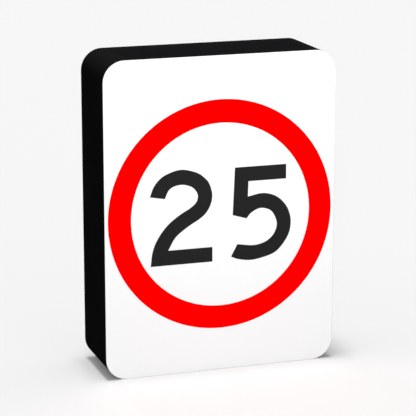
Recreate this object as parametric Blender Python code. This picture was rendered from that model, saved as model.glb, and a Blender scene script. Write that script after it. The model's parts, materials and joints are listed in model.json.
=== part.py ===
"""Self-contained solar speed sign: a shallow lit box with a flat face, a solar module in its top,
a service door behind and two slotted rails to mount it by.

The box stands on z = 0 with its face towards -Y, centred on x = 0 and y = 0. Sizes are in metres.
"""

import math

import bmesh
import bpy
from mathutils import Vector

MM = 0.001

# Overall box
WIDTH = 600 * MM
HEIGHT = 800 * MM
DEPTH = 200 * MM
CORNER_R = 54 * MM
WALL = 3 * MM
FIT = 0.3 * MM  # gap kept between pieces that touch

# Face and its films
FACE_T = 3 * MM
FACE_BEVEL = 0.3 * MM
FILM_T = 0.3 * MM
FILM_GAP = 0.1 * MM
RING_MARGIN = 8.7 * MM  # from the ring to the face's sides
RING_STROKE = 58.6 * MM
NUMERAL_GAP = 15 * MM  # from the ring to the numerals' furthest corner
NUMERAL_REACH = 217.7  # how far that corner is from the middle, as the outlines are drawn

# Ledge and flange inside the band
LEDGE_IN = 20 * MM
LEDGE_T = 3 * MM
FACE_SEAL_T = 2 * MM
PANEL_SEAL_T = 1.5 * MM
PANEL_T = 2 * MM
PANEL_CLEAR = 0.5 * MM
DRAIN_R = 2.5 * MM
DRAIN_IN = 100 * MM  # from the band's side to a drain hole

# Light box
TRAY_RIM_IN = 12 * MM
TRAY_WALL_IN = 24 * MM
TRAY_T = 1.5 * MM
TRAY_DEEP = 40 * MM
LED_BARS = 6
LED_BAR_W = 14 * MM
LED_BAR_T = 6 * MM
LED_BAR_R = 2 * MM
LED_BAR_END = 30 * MM  # from a bar's end to the tray's wall

# Solar module in the top
SOLAR_MARGIN = 14 * MM  # from the module's opening to the start of the round corner
SOLAR_WIDE = 140 * MM
SOLAR_T = 1.9 * MM
SOLAR_R = 1 * MM
SOLAR_SEAL_W = 10 * MM
CARRIER_LAP = 8 * MM
CARRIER_LEDGE = 12 * MM
CARRIER_T = 2 * MM
CARRIER_R = 3 * MM
JUNCTION_BOX = (80 * MM, 50 * MM, 16 * MM)
JUNCTION_R = 3 * MM
JUNCTION_EDGE = 1 * MM
JUNCTION_X = 100 * MM

# Mounting rails
RAIL_DEEP = 21 * MM
RAIL_TALL = 41 * MM
RAIL_T = 2.5 * MM
RAIL_SLOT = 22 * MM
RAIL_LIP = 7 * MM
RAIL_END = 20 * MM  # from the rail's end to the band's outside
RAIL_TO_DOOR = 29.5 * MM

# Service door and its opening
OPEN_W = 360 * MM
OPEN_H = 380 * MM
OPEN_R = 10 * MM
DOOR_LAP = 20 * MM
DOOR_R = 8 * MM
DOOR_T = 2 * MM
DOOR_DEEP = 12 * MM
DOOR_EDGE = 0.8 * MM
DOOR_STANDOFF = 1 * MM
DOOR_SEAL_IN = 6 * MM
DOOR_SEAL_W = 10 * MM

# Hinges
KNUCKLE_R = 4.5 * MM
PIN_R = 2 * MM
PIN_CLEAR = 0.1 * MM
HINGE_LONG = 60 * MM
HINGE_LEAF = 26 * MM
LEAF_T = 1.5 * MM
HINGE_GAP = 2 * MM  # from the knuckle to the door's side
LEAF_CLEAR = 1 * MM  # from the knuckles on the panel to the door's leaf
PIN_HEAD = 1.5 * MM
HINGE_SPREAD = 140 * MM  # from the door's middle to each hinge

# Quarter-turn locks
LOCK_IN = 22 * MM  # from the opening's edge to the lock's axis
LOCK_SPREAD = 130 * MM
LOCK_BARREL_R = 8 * MM
LOCK_FLANGE_R = 11 * MM
LOCK_FLANGE_T = 2.5 * MM
LOCK_ROTOR_R = 6 * MM
LOCK_STUB_R = 4 * MM
LOCK_NUT_R = 13.5 * MM
LOCK_NUT_T = 5 * MM
CAM_T = 3 * MM
CAM_LONG = 34 * MM
CAM_HUB_R = 9 * MM
LOCK_EDGE = 0.6 * MM
LOCK_ROTOR_SUNK = 0.5 * MM
LOCK_STUB_PAST = 2 * MM  # from the cam to the stub's end
KEY_SLOT = (2.5 * MM, 8 * MM, 4 * MM)  # width, length and depth

# Equipment
PLATE_W = 400 * MM
PLATE_H = 440 * MM
PLATE_T = 2 * MM
PLATE_R = 8 * MM
BATTERY = (181 * MM, 77 * MM, 167 * MM)
BATTERY_R = 5 * MM
BATTERY_EDGE = 2 * MM
POST = (14 * MM, 8 * MM, 9 * MM)
POST_IN = 22 * MM  # from the battery's side to a post
BATTERY_X = -75 * MM
SHELF_T = 2 * MM
SHELF_DROP = 164 * MM  # from the box's middle down to the shelf
SHELF_LIP = 9 * MM
SHELF_LEG = 30 * MM
SHELF_SIDE = 4 * MM  # from the battery's side to the shelf's
STRAP_T = 1.5 * MM
STRAP_W = 25 * MM
STRAP_FOOT = 14 * MM
CONTROLLER = (135 * MM, 34 * MM, 86 * MM)
CONTROLLER_EDGE = 3 * MM
CONTROLLER_AT = (-85 * MM, 100 * MM)  # places on the plate, from its middle
DRIVER = (110 * MM, 28 * MM, 56 * MM)
DRIVER_EDGE = 1.5 * MM
DRIVER_AT = (90 * MM, 115 * MM)
BLOCK_WAYS = 6
BLOCK_PITCH = 12 * MM
BLOCK_AT = (90 * MM, 50 * MM)
BLOCK_TALL = 22 * MM
BLOCK_BASE = 12 * MM
BLOCK_FENCE = (1.5 * MM, 20 * MM)  # thickness and depth

# Switch bracket
BRACKET_X = (48 * MM, 168 * MM)
BRACKET_TALL = 160 * MM
BRACKET_DEEP = 78 * MM
BRACKET_T = 2 * MM
BRACKET_FOOT = 18 * MM
BRACKET_HOLE_R = 1 * MM
ROCKER_UP = 119 * MM  # from the bracket's lower end to each control
BUTTON_UP = 74 * MM
FUSE_UP = 32 * MM
ROCKER_FLANGE = (22 * MM, 30 * MM)
ROCKER_FLANGE_T = 2 * MM
ROCKER_RIM = 3 * MM
ROCKER_BODY_IN = 1.4 * MM
ROCKER_DEEP = 24 * MM
ROCKER_R = 2 * MM
ROCKER_EDGE = 0.5 * MM
ROCKER_WELL = 12 * MM
ROCKER_CREST = 4.1 * MM  # from the rocker's axis to its two ends
ROCKER_DIP = 2.2 * MM
ROCKER_SOLE = 6 * MM
ROCKER_TILT = 10.0  # degrees each way from level
ROCKER_AXIS_IN = 3 * MM
BUTTON_R = 6 * MM
BUTTON_PROUD = 4 * MM
BUTTON_THICK = 11 * MM
BUTTON_BUSH_R = 8 * MM
BUTTON_FLANGE_R = 9.5 * MM
BUTTON_FLANGE_T = 2.5 * MM
BUTTON_DEEP = 22 * MM
SOCKET_FLOOR = 3 * MM  # behind the button's spring and the fuse
CONTROL_EDGE = 0.8 * MM
SPRING_WIRE_R = 0.4 * MM
SPRING_R = 4.2 * MM
SPRING_TURNS = 5
FUSE_BUSH_R = 7 * MM
FUSE_SHAFT_R = 5 * MM
FUSE_KNOB_R = 7.5 * MM
FUSE_KNOB_T = 8 * MM
FUSE_DEEP = 34 * MM
FUSE_SLOT = (12 * MM, 1.6 * MM, 1.5 * MM)  # length, width and depth

VENT_DROP = 150 * MM  # from the box's middle down to the vent
VENT_R = 9 * MM
VENT_CAP_T = 6 * MM
VENT_EDGE = 1 * MM
VENT_SHANK_PAST = 2 * MM  # from the nut to the shank's end
VENT_SHANK_R = 6 * MM
VENT_NUT_R = 10 * MM
VENT_NUT_T = 4 * MM

CABLE_R = 2.5 * MM
CABLE_OUT = 14 * MM  # from the plate to a cable's middle
LEAD_MINUS_X = -110 * MM
LEAD_PLUS_X = -92 * MM
SOLAR_LEAD_X = -70 * MM
JUNCTION_LEAD_IN = 20 * MM  # from the junction box's middle to its lead
TRAY_LEAD_OUT = 18 * MM  # from the plate's side to the lead into the tray

# Places worked out from the sizes, along the depth (y)
Y_FRONT = -DEPTH / 2
Y_FACE = Y_FRONT + FILM_T + FILM_GAP
Y_FACE_BACK = Y_FACE + FACE_T
Y_BAND = Y_FACE_BACK + FIT
Y_LEDGE = Y_BAND + FACE_SEAL_T + FIT
Y_LEDGE_BACK = Y_LEDGE + LEDGE_T
Y_TRAY = Y_LEDGE_BACK + FIT
Y_TRAY_BACK = Y_TRAY + TRAY_DEEP
Y_PLATE = Y_TRAY_BACK + FIT
Y_PLATE_BACK = Y_PLATE + PLATE_T
Y_GEAR = Y_PLATE_BACK + FIT
Y_REAR = DEPTH / 2
Y_PANEL_OUT = Y_REAR - RAIL_DEEP - FIT
Y_PANEL_IN = Y_PANEL_OUT - PANEL_T
Y_FLANGE = Y_PANEL_IN - PANEL_SEAL_T - 2 * FIT
Y_FLANGE_IN = Y_FLANGE - LEDGE_T
Y_DOOR_OUT = Y_PANEL_OUT + DOOR_STANDOFF + DOOR_DEEP
Y_DOOR_IN = Y_DOOR_OUT - DOOR_T
Y_LEAF = Y_DOOR_OUT + FIT
Y_HINGE = Y_LEAF + LEAF_T - KNUCKLE_R
Y_SOLAR = (Y_LEDGE_BACK + Y_FLANGE_IN) / 2

MID_Z = HEIGHT / 2
RING_R = WIDTH / 2 - RING_MARGIN
DOOR_W = OPEN_W + 2 * DOOR_LAP
DOOR_H = OPEN_H + 2 * DOOR_LAP
HINGE_X = DOOR_W / 2 + HINGE_GAP + KNUCKLE_R
LOCK_X = -OPEN_W / 2 + LOCK_IN
RAIL_LONG = WIDTH - 2 * RAIL_END
RAIL_OFF_MID = DOOR_H / 2 + RAIL_TO_DOOR + RAIL_TALL / 2
SOLAR_LONG = WIDTH - 2 * (CORNER_R + SOLAR_MARGIN)
SOLAR_SEAL_T = WALL - SOLAR_T - FIT
SHELF_Z = MID_Z - SHELF_DROP
ROCKER_Z = SHELF_Z + ROCKER_UP
BUTTON_Z = SHELF_Z + BUTTON_UP
FUSE_Z = SHELF_Z + FUSE_UP
VENT_AT = (-(DOOR_W / 2 + WIDTH / 2 - LEDGE_IN) / 2, MID_Z - VENT_DROP)
CORNER_STEPS = 14
ROUND = 28


# ---------------------------------------------------------------- materials

def finish(name, colour, roughness, metallic=0.0):
    """A Principled material of one colour, made once and shared by name."""
    found = bpy.data.materials.get(name)
    if found:
        return found
    made = bpy.data.materials.new(name)
    made.use_nodes = True
    made.diffuse_color = (*colour, 1.0)
    shader = made.node_tree.nodes["Principled BSDF"]
    shader.inputs["Base Color"].default_value = (*colour, 1.0)
    shader.inputs["Roughness"].default_value = roughness
    shader.inputs["Metallic"].default_value = metallic
    return made


def black_coat():
    return finish("black_coat", (0.012, 0.012, 0.013), 0.55)


def white_face():
    return finish("white_face", (0.92, 0.92, 0.92), 0.35)


def red_film():
    return finish("red_film", (0.85, 0.0, 0.0), 0.35)


def black_film():
    return finish("black_film", (0.02, 0.02, 0.021), 0.35)


def white_coat():
    return finish("white_coat", (0.85, 0.85, 0.84), 0.5)


def bare_aluminium():
    return finish("bare_aluminium", (0.72, 0.73, 0.74), 0.35, 1.0)


def zinc_steel():
    return finish("zinc_steel", (0.6, 0.6, 0.58), 0.35, 1.0)


def black_rubber():
    return finish("black_rubber", (0.02, 0.02, 0.02), 0.8)


def solar_glass():
    return finish("solar_glass", (0.01, 0.01, 0.016), 0.15)


def grey_plastic():
    return finish("grey_plastic", (0.25, 0.26, 0.28), 0.5)


def black_plastic():
    return finish("black_plastic", (0.02, 0.02, 0.022), 0.4)


def blue_plastic():
    return finish("blue_plastic", (0.03, 0.12, 0.4), 0.4)


def red_plastic():
    return finish("red_plastic", (0.6, 0.02, 0.02), 0.35)


def green_plastic():
    return finish("green_plastic", (0.02, 0.32, 0.12), 0.45)


def brass():
    return finish("brass", (0.75, 0.55, 0.2), 0.3, 1.0)


def red_cable():
    return finish("red_cable", (0.5, 0.01, 0.01), 0.45)


def black_cable():
    return finish("black_cable", (0.015, 0.015, 0.015), 0.45)


# ---------------------------------------------------------------- shapes

def clear_scene():
    for thing in list(bpy.data.objects):
        bpy.data.objects.remove(thing)


def arc(centre, radius, start, end, steps):
    """Points on a circle from one angle to another, in degrees, both ends included."""
    turn = [math.radians(start + (end - start) * i / steps) for i in range(steps + 1)]
    return [(centre[0] + radius * math.cos(a), centre[1] + radius * math.sin(a)) for a in turn]


def circle(centre, radius, steps=ROUND):
    return arc(centre, radius, 0, 360, steps)[:-1]


def hexagon(centre, radius):
    return circle(centre, radius, 6)


def rounded_rectangle(centre, width, height, radius, steps=6):
    """Outline of a rectangle with round corners, anticlockwise."""
    points = []
    for quarter, (side, up) in enumerate(((1, 1), (-1, 1), (-1, -1), (1, -1))):
        middle = (
            centre[0] + side * (width / 2 - radius),
            centre[1] + up * (height / 2 - radius),
        )
        points += arc(middle, radius, 90 * quarter, 90 * quarter + 90, steps)
    return points


def box_outline(low, high):
    return [(low[0], low[1]), (high[0], low[1]), (high[0], high[1]), (low[0], high[1])]


def place(point, depth, axis):
    """A point of a flat outline, set at a depth along the axis that it is drawn across."""
    u, v = point
    return {"X": (depth, u, v), "Y": (u, depth, v), "Z": (u, v, depth)}[axis]


def add_object(name, mesh_in_work, material):
    bmesh.ops.recalc_face_normals(mesh_in_work, faces=mesh_in_work.faces)
    mesh = bpy.data.meshes.new(name)
    mesh_in_work.to_mesh(mesh)
    mesh_in_work.free()
    made = bpy.data.objects.new(name, mesh)
    bpy.context.scene.collection.objects.link(made)
    if material:
        mesh.materials.append(material)
    mesh.shade_smooth()
    mesh.set_sharp_from_angle(angle=math.radians(35))
    return made


def prism(name, outline, low, high, axis, material, holes=()):
    """A flat outline, with holes, made solid between two depths along an axis."""
    work = bmesh.new()
    for loop in (outline, *holes):
        corners = [work.verts.new(place(p, low, axis)) for p in loop]
        for a, b in zip(corners, corners[1:] + corners[:1]):
            work.edges.new((a, b))
    bmesh.ops.triangle_fill(work, edges=work.edges[:], use_beauty=True)
    grown = bmesh.ops.extrude_face_region(work, geom=work.faces[:])
    moved = [g for g in grown["geom"] if isinstance(g, bmesh.types.BMVert)]
    bmesh.ops.translate(work, verts=moved, vec=Vector(place((0, 0), high - low, axis)))
    return add_object(name, work, material)


def loft(name, loops, material, ring=False):
    """Loops of points joined in order: capped at both ends, or closed into a ring."""
    work = bmesh.new()
    rows = [[work.verts.new(p) for p in loop] for loop in loops]
    pairs = list(zip(rows, rows[1:])) + ([(rows[-1], rows[0])] if ring else [])
    for row, after in pairs:
        for i in range(len(row)):
            j = (i + 1) % len(row)
            work.faces.new((row[i], row[j], after[j], after[i]))
    if not ring:
        work.faces.new(rows[0])
        work.faces.new(rows[-1])
    return add_object(name, work, material)


def shell(name, centre, width, height, radius, section, axis, material, ring=False, steps=6):
    """A section of (inset, depth) points carried round a rounded rectangle."""
    loops = []
    for inset, depth in section:
        turn = max(radius - inset, FIT)
        outline = rounded_rectangle(centre, width - 2 * inset, height - 2 * inset, turn, steps)
        loops.append([place(p, depth, axis) for p in outline])
    return loft(name, loops, material, ring)


def turned(name, centre, section, axis, material, ring=False, steps=ROUND):
    """A section of (radius, depth) points turned round an axis."""
    loops = [[place(p, depth, axis) for p in circle(centre, radius, steps)] for radius, depth in section]
    return loft(name, loops, material, ring)


def block(name, low, high, material, bevel=0.0):
    """A box between two corners, its upright edges and its rear edge eased by a bevel."""
    centre = ((low[0] + high[0]) / 2, (low[2] + high[2]) / 2)
    width, height = high[0] - low[0], high[2] - low[2]
    if not bevel:
        outline = box_outline((low[0], low[2]), (high[0], high[2]))
        return prism(name, outline, low[1], high[1], "Y", material)
    section = [(0, low[1]), (0, high[1] - bevel), (bevel, high[1])]
    return shell(name, centre, width, height, 2 * bevel, section, "Y", material, steps=3)


def shape_with(target, tool, operation):
    """A live Boolean: the tool is hidden, and cuts the target or joins it."""
    tool.hide_render = True
    tool.display_type = "WIRE"
    change = target.modifiers.new(tool.name, "BOOLEAN")
    change.operation = operation
    change.object = tool


def cut(target, tool):
    shape_with(target, tool, "DIFFERENCE")


def join(target, tool):
    shape_with(target, tool, "UNION")


def smooth_run(points, steps):
    """Points on a smooth curve through the given ones (Catmull-Rom), both ends included.
    The curve leaves each end along the line to the next point."""
    lead = [2 * a - b for a, b in zip(points[0], points[1])]
    tail = [2 * a - b for a, b in zip(points[-1], points[-2])]
    padded = [lead, *points, tail]
    run = []
    for before, start, end, after in zip(padded, padded[1:], padded[2:], padded[3:]):
        for i in range(steps):
            t = i / steps
            run.append(tuple(
                0.5 * (2 * b + (c - a) * t + (2 * a - 5 * b + 4 * c - d) * t ** 2
                       + (3 * b - a - 3 * c + d) * t ** 3)
                for a, b, c, d in zip(before, start, end, after)
            ))
    return run + [tuple(points[-1])]


def cable(name, route, radius, material):
    """A round lead with flat ends, along a smooth curve through the route's points, straight for
    the first and last half of its end stretches."""
    first, last = [
        tuple((a + b) / 2 for a, b in zip(end, after))
        for end, after in ((route[0], route[1]), (route[-1], route[-2]))
    ]
    points = smooth_run([route[0], first, *route[1:-1], last, route[-1]], 4)
    line = bpy.data.curves.new(name, "CURVE")
    line.dimensions = "3D"
    line.bevel_depth = radius
    line.bevel_resolution = 2
    line.use_fill_caps = True
    spline = line.splines.new("POLY")
    spline.points.add(len(points) - 1)
    for spot, point in zip(spline.points, points):
        spot.co = (*point, 1.0)
    line.materials.append(material)
    made = bpy.data.objects.new(name, line)
    bpy.context.scene.collection.objects.link(made)
    return made


def pivot(name, at, pieces):
    """An empty on a joint's axis, which carries the pieces that move with it."""
    made = bpy.data.objects.new(name, None)
    made.location = at
    made.empty_display_size = 20 * MM
    bpy.context.scene.collection.objects.link(made)
    bpy.context.view_layer.update()
    for piece in pieces:
        piece.parent = made
        piece.matrix_parent_inverse = made.matrix_world.inverted()
    return made


# ---------------------------------------------------------------- face

def face_panel():
    section = [(FACE_BEVEL, Y_FACE), (0, Y_FACE + FACE_BEVEL), (0, Y_FACE_BACK)]
    shell("face_panel", (0, MID_Z), WIDTH, HEIGHT, CORNER_R, section, "Y", white_face(),
          steps=CORNER_STEPS)


def ring_film():
    section = [(RING_R, Y_FRONT), (RING_R, Y_FRONT + FILM_T)]
    section += [(r - RING_STROKE, y) for r, y in reversed(section)]
    turned("ring_film", (0, MID_Z), section, "Y", red_film(), ring=True, steps=128)


def numeral_two():
    """The left numeral's outline, in millimetres from the middle of the face."""
    outer = smooth_run([
        (-184, 58.5), (-176, 80), (-164, 97), (-143, 112), (-104, 122), (-64, 112), (-42, 96),
        (-30.4, 80), (-23.6, 52), (-29.9, 24), (-48.6, 0), (-88, -24), (-119, -48), (-138, -80),
    ], 5)
    inner = smooth_run([
        (-183.3, -117.5), (-178, -80), (-164.5, -48), (-139.5, -16), (-108, 8), (-80, 24),
        (-64.5, 38), (-61.2, 56), (-70.8, 72), (-85, 80.5), (-104.5, 84.3), (-124, 80.5),
        (-137, 71), (-146, 51.5),
    ], 5)
    return outer + [(-23.2, -80), (-23.2, -117.5)] + inner


def numeral_five():
    """The right numeral's outline, in millimetres from the middle of the face."""
    outer = smooth_run([
        (69.7, 41.5), (108, 47.5), (139, 40), (161, 24), (177.4, 0), (184.2, -31), (178, -64),
        (155.6, -96), (131, -112), (82, -122), (45, -117), (26, -109),
    ], 5)
    inner = smooth_run([
        (42.5, -78.5), (84, -84.5), (111, -80), (127, -71.5), (141, -56), (146.8, -30),
        (132.2, 0), (104, 10), (79.1, 0), (66.5, -14),
    ], 5)
    return [(35.5, 117.5), (170.6, 117.5), (170.6, 80.5), (71, 80.5)] + outer + inner + [(30, -3)]


def numeral_film(name, outline):
    scale = (RING_R - RING_STROKE - NUMERAL_GAP) / NUMERAL_REACH
    points = [(x * scale, MID_Z + z * scale) for x, z in outline]
    prism(name, points, Y_FRONT, Y_FRONT + FILM_T, "Y", black_film())


def face_gasket():
    near, far = WALL + FIT, LEDGE_IN - FIT
    section = [(near, Y_BAND), (near, Y_LEDGE - FIT), (far, Y_LEDGE - FIT), (far, Y_BAND)]
    shell("face_gasket", (0, MID_Z), WIDTH, HEIGHT, CORNER_R, section, "Y", black_rubber(),
          ring=True, steps=8)


# ---------------------------------------------------------------- housing

def housing_band():
    section = [
        (0, Y_BAND), (0, Y_REAR), (WALL, Y_REAR), (WALL, Y_FLANGE),
        (LEDGE_IN, Y_FLANGE), (LEDGE_IN, Y_FLANGE_IN), (WALL, Y_FLANGE_IN),
        (WALL, Y_LEDGE_BACK), (LEDGE_IN, Y_LEDGE_BACK), (LEDGE_IN, Y_LEDGE), (WALL, Y_LEDGE),
        (WALL, Y_BAND),
    ]
    band = shell("housing_band", (0, MID_Z), WIDTH, HEIGHT, CORNER_R, section, "Y", black_coat(),
                 ring=True, steps=CORNER_STEPS)
    window = box_outline((-SOLAR_LONG / 2, Y_SOLAR - SOLAR_WIDE / 2),
                         (SOLAR_LONG / 2, Y_SOLAR + SOLAR_WIDE / 2))
    cut(band, prism("cut_solar_window", window, HEIGHT - 2 * WALL, HEIGHT + WALL, "Z", None))
    drain = WIDTH / 2 - DRAIN_IN
    for side, x in (("left", -drain), ("right", drain)):
        hole = circle((x, Y_SOLAR), DRAIN_R, 12)
        cut(band, prism(f"cut_drain_{side}", hole, -WALL, 2 * WALL, "Z", None))


def panel_gasket():
    near, far = WALL + FIT, LEDGE_IN - FIT
    low, high = Y_FLANGE + FIT, Y_PANEL_IN - FIT
    section = [(near, low), (near, high), (far, high), (far, low)]
    shell("panel_gasket", (0, MID_Z), WIDTH, HEIGHT, CORNER_R, section, "Y", black_rubber(),
          ring=True, steps=8)


def rear_panel():
    inset = WALL + PANEL_CLEAR
    outline = rounded_rectangle((0, MID_Z), WIDTH - 2 * inset, HEIGHT - 2 * inset,
                                CORNER_R - inset, CORNER_STEPS)
    opening = rounded_rectangle((0, MID_Z), OPEN_W, OPEN_H, OPEN_R)
    vent_hole = circle(VENT_AT, VENT_SHANK_R + FIT)
    prism("rear_panel", outline, Y_PANEL_IN, Y_PANEL_OUT, "Y", black_coat(),
          holes=(opening, vent_hole))


def mount_rail(name, z):
    """A slotted channel lying across the back, open to the rear."""
    half, slot = RAIL_TALL / 2, RAIL_SLOT / 2
    near = Y_PANEL_OUT + FIT
    curl = Y_REAR - RAIL_LIP
    section = [
        (near, z - half), (Y_REAR, z - half), (Y_REAR, z - slot), (curl, z - slot),
        (curl, z - slot - RAIL_T), (Y_REAR - RAIL_T, z - slot - RAIL_T),
        (Y_REAR - RAIL_T, z - half + RAIL_T), (near + RAIL_T, z - half + RAIL_T),
        (near + RAIL_T, z + half - RAIL_T), (Y_REAR - RAIL_T, z + half - RAIL_T),
        (Y_REAR - RAIL_T, z + slot + RAIL_T), (curl, z + slot + RAIL_T), (curl, z + slot),
        (Y_REAR, z + slot), (Y_REAR, z + half), (near, z + half),
    ]
    prism(name, section, -RAIL_LONG / 2, RAIL_LONG / 2, "X", bare_aluminium())


def breather_vent():
    out = Y_PANEL_OUT + FIT
    section = [
        (VENT_SHANK_R, Y_PANEL_IN - VENT_NUT_T - VENT_SHANK_PAST), (VENT_SHANK_R, out), (VENT_R, out),
        (VENT_R, out + VENT_CAP_T - VENT_EDGE), (VENT_R - VENT_EDGE, out + VENT_CAP_T),
    ]
    turned("breather_vent", VENT_AT, section, "Y", black_plastic())
    high = Y_PANEL_IN - FIT
    prism("vent_nut", hexagon(VENT_AT, VENT_NUT_R), high - VENT_NUT_T, high, "Y", black_plastic(),
          holes=(circle(VENT_AT, VENT_SHANK_R + FIT),))


# ---------------------------------------------------------------- light box

def light_tray():
    wall, rim = TRAY_WALL_IN, TRAY_RIM_IN
    section = [
        (wall + TRAY_T, Y_TRAY_BACK - TRAY_T), (wall + TRAY_T, Y_TRAY), (rim, Y_TRAY),
        (rim, Y_TRAY + TRAY_T), (wall, Y_TRAY + TRAY_T), (wall, Y_TRAY_BACK),
    ]
    shell("light_tray", (0, MID_Z), WIDTH, HEIGHT, CORNER_R, section, "Y", white_coat(), steps=8)


def led_bars():
    floor = Y_TRAY_BACK - TRAY_T - FIT
    inside = WIDTH - 2 * (TRAY_WALL_IN + TRAY_T)
    pitch = inside / LED_BARS
    half = HEIGHT / 2 - TRAY_WALL_IN - TRAY_T - LED_BAR_END
    for n in range(LED_BARS):
        x = (n - (LED_BARS - 1) / 2) * pitch
        section = [(0, floor), (0, floor - LED_BAR_T / 3), (LED_BAR_W / 4, floor - LED_BAR_T)]
        shell(f"led_bar_{n + 1}", (x, MID_Z), LED_BAR_W, 2 * half, LED_BAR_R, section, "Y",
              white_coat(), steps=2)


# ---------------------------------------------------------------- solar module

def solar_module():
    centre = (0, Y_SOLAR)
    under = HEIGHT - WALL - FIT
    laminate = (SOLAR_LONG - 2 * FIT, SOLAR_WIDE - 2 * FIT)
    bottom = HEIGHT - SOLAR_T
    shell("solar_laminate", centre, *laminate, SOLAR_R, [(0, bottom), (0, HEIGHT)], "Z",
          solar_glass(), steps=2)
    low = under + FIT
    high = low + SOLAR_SEAL_T
    seal = [(FIT, low), (FIT, high), (SOLAR_SEAL_W, high), (SOLAR_SEAL_W, low)]
    shell("solar_gasket", centre, *laminate, SOLAR_R, seal, "Z", black_rubber(), ring=True, steps=2)
    outline = rounded_rectangle(centre, SOLAR_LONG + 2 * CARRIER_LAP,
                                SOLAR_WIDE + 2 * CARRIER_LAP, CARRIER_R, 3)
    window = rounded_rectangle(centre, SOLAR_LONG - 2 * CARRIER_LEDGE,
                               SOLAR_WIDE - 2 * CARRIER_LEDGE, CARRIER_R, 3)
    prism("solar_carrier", outline, under - CARRIER_T, under, "Z", bare_aluminium(),
          holes=(window,))
    long, wide, tall = JUNCTION_BOX
    top = bottom - FIT
    section = [(0, top), (0, top - tall + JUNCTION_EDGE), (JUNCTION_EDGE, top - tall)]
    shell("solar_junction_box", (JUNCTION_X, Y_SOLAR), long, wide, JUNCTION_R, section, "Z",
          black_plastic(), steps=3)


# ---------------------------------------------------------------- door, hinges, locks

def rear_door():
    section = [
        (DOOR_EDGE, Y_DOOR_OUT), (0, Y_DOOR_OUT - DOOR_EDGE), (0, Y_PANEL_OUT + DOOR_STANDOFF),
        (DOOR_T, Y_PANEL_OUT + DOOR_STANDOFF), (DOOR_T, Y_DOOR_IN),
    ]
    door = shell("rear_door", (0, MID_Z), DOOR_W, DOOR_H, DOOR_R, section, "Y", black_coat())
    for name, z in lock_places():
        hole = circle((LOCK_X, z), LOCK_BARREL_R + FIT)
        cut(door, prism(f"cut_{name}", hole, Y_DOOR_IN - DOOR_T, Y_DOOR_OUT + DOOR_T, "Y", None))
    return door


def door_gasket():
    near, far = DOOR_SEAL_IN, DOOR_SEAL_IN + DOOR_SEAL_W
    low, high = Y_PANEL_OUT + FIT, Y_DOOR_IN - FIT
    section = [(near, low), (near, high), (far, high), (far, low)]
    return shell("door_gasket", (0, MID_Z), DOOR_W, DOOR_H, DOOR_R, section, "Y", black_rubber(),
                 ring=True, steps=4)


def hinge_places():
    return (("upper", MID_Z + HINGE_SPREAD), ("lower", MID_Z - HINGE_SPREAD))


def knuckle(name, low, high):
    return prism(name, circle((HINGE_X, Y_HINGE), KNUCKLE_R), low, high, "Z", None)


def pin_bore(name, low, high):
    return prism(name, circle((HINGE_X, Y_HINGE), PIN_R + PIN_CLEAR), low, high, "Z", None)


def frame_leaf(side, z):
    """The leaf on the panel: a flat foot and two posts that carry the outer knuckles."""
    low, high, third = z - HINGE_LONG / 2, z + HINGE_LONG / 2, HINGE_LONG / 3
    foot_low = Y_PANEL_OUT + FIT
    foot = box_outline((HINGE_X - KNUCKLE_R, foot_low), (HINGE_X + HINGE_LEAF, foot_low + LEAF_T))
    leaf = prism(f"hinge_{side}_frame_leaf", foot, low, high, "Z", zinc_steel())
    posts = (("foot", low, low + third - FIT), ("head", high - third + FIT, high))
    for end, start, stop in posts:
        post = box_outline((HINGE_X - KNUCKLE_R * 0.6, foot_low + LEAF_T / 2),
                           (HINGE_X + KNUCKLE_R * 0.6, Y_HINGE))
        join(leaf, prism(f"add_post_{side}_{end}", post, start, stop, "Z", None))
        join(leaf, knuckle(f"add_knuckle_{side}_{end}", start, stop))
    cut(leaf, pin_bore(f"cut_bore_{side}_frame", low - DOOR_T, high + DOOR_T))


def door_leaf(side, z):
    """The leaf on the door, with the middle knuckle."""
    low, high, third = z - HINGE_LONG / 2, z + HINGE_LONG / 2, HINGE_LONG / 3
    clear = KNUCKLE_R + LEAF_CLEAR
    plate = box_outline((HINGE_X - clear - HINGE_LEAF, Y_LEAF), (HINGE_X - clear, Y_LEAF + LEAF_T))
    leaf = prism(f"hinge_{side}_door_leaf", plate, low, high, "Z", zinc_steel())
    start, stop = low + third, high - third
    arm = box_outline((HINGE_X - clear - LEAF_T, Y_LEAF + FIT / 10), (HINGE_X, Y_LEAF + LEAF_T))
    join(leaf, prism(f"add_arm_{side}", arm, start, stop, "Z", None))
    join(leaf, knuckle(f"add_knuckle_{side}_door", start, stop))
    cut(leaf, pin_bore(f"cut_bore_{side}_door", start - DOOR_T, stop + DOOR_T))
    return leaf


def hinge_pin(side, z):
    low, high = z - HINGE_LONG / 2, z + HINGE_LONG / 2
    section = [
        (PIN_R, low - PIN_HEAD), (PIN_R, high + FIT), (PIN_R + PIN_HEAD, high + FIT),
        (PIN_R + PIN_HEAD, high + FIT + PIN_HEAD),
    ]
    turned(f"hinge_{side}_pin", (HINGE_X, Y_HINGE), section, "Z", zinc_steel())


def lock_places():
    return (("lock_upper", MID_Z + LOCK_SPREAD), ("lock_lower", MID_Z - LOCK_SPREAD))


def lock_body(name, z):
    at = (LOCK_X, z)
    flange = Y_DOOR_OUT + FIT
    bore, barrel_end = LOCK_ROTOR_R + FIT, Y_PANEL_IN + FIT
    section = [
        (LOCK_BARREL_R, barrel_end), (LOCK_BARREL_R, flange), (LOCK_FLANGE_R, flange),
        (LOCK_FLANGE_R, flange + LOCK_FLANGE_T - LOCK_EDGE),
        (LOCK_FLANGE_R - LOCK_EDGE, flange + LOCK_FLANGE_T), (bore, flange + LOCK_FLANGE_T),
        (bore, barrel_end),
    ]
    body = turned(f"{name}_body", at, section, "Y", zinc_steel(), ring=True)
    high = Y_DOOR_IN - FIT
    nut = prism(f"{name}_nut", hexagon(at, LOCK_NUT_R), high - LOCK_NUT_T, high, "Y",
                zinc_steel(), holes=(circle(at, LOCK_BARREL_R + FIT),))
    return [body, nut]


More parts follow.
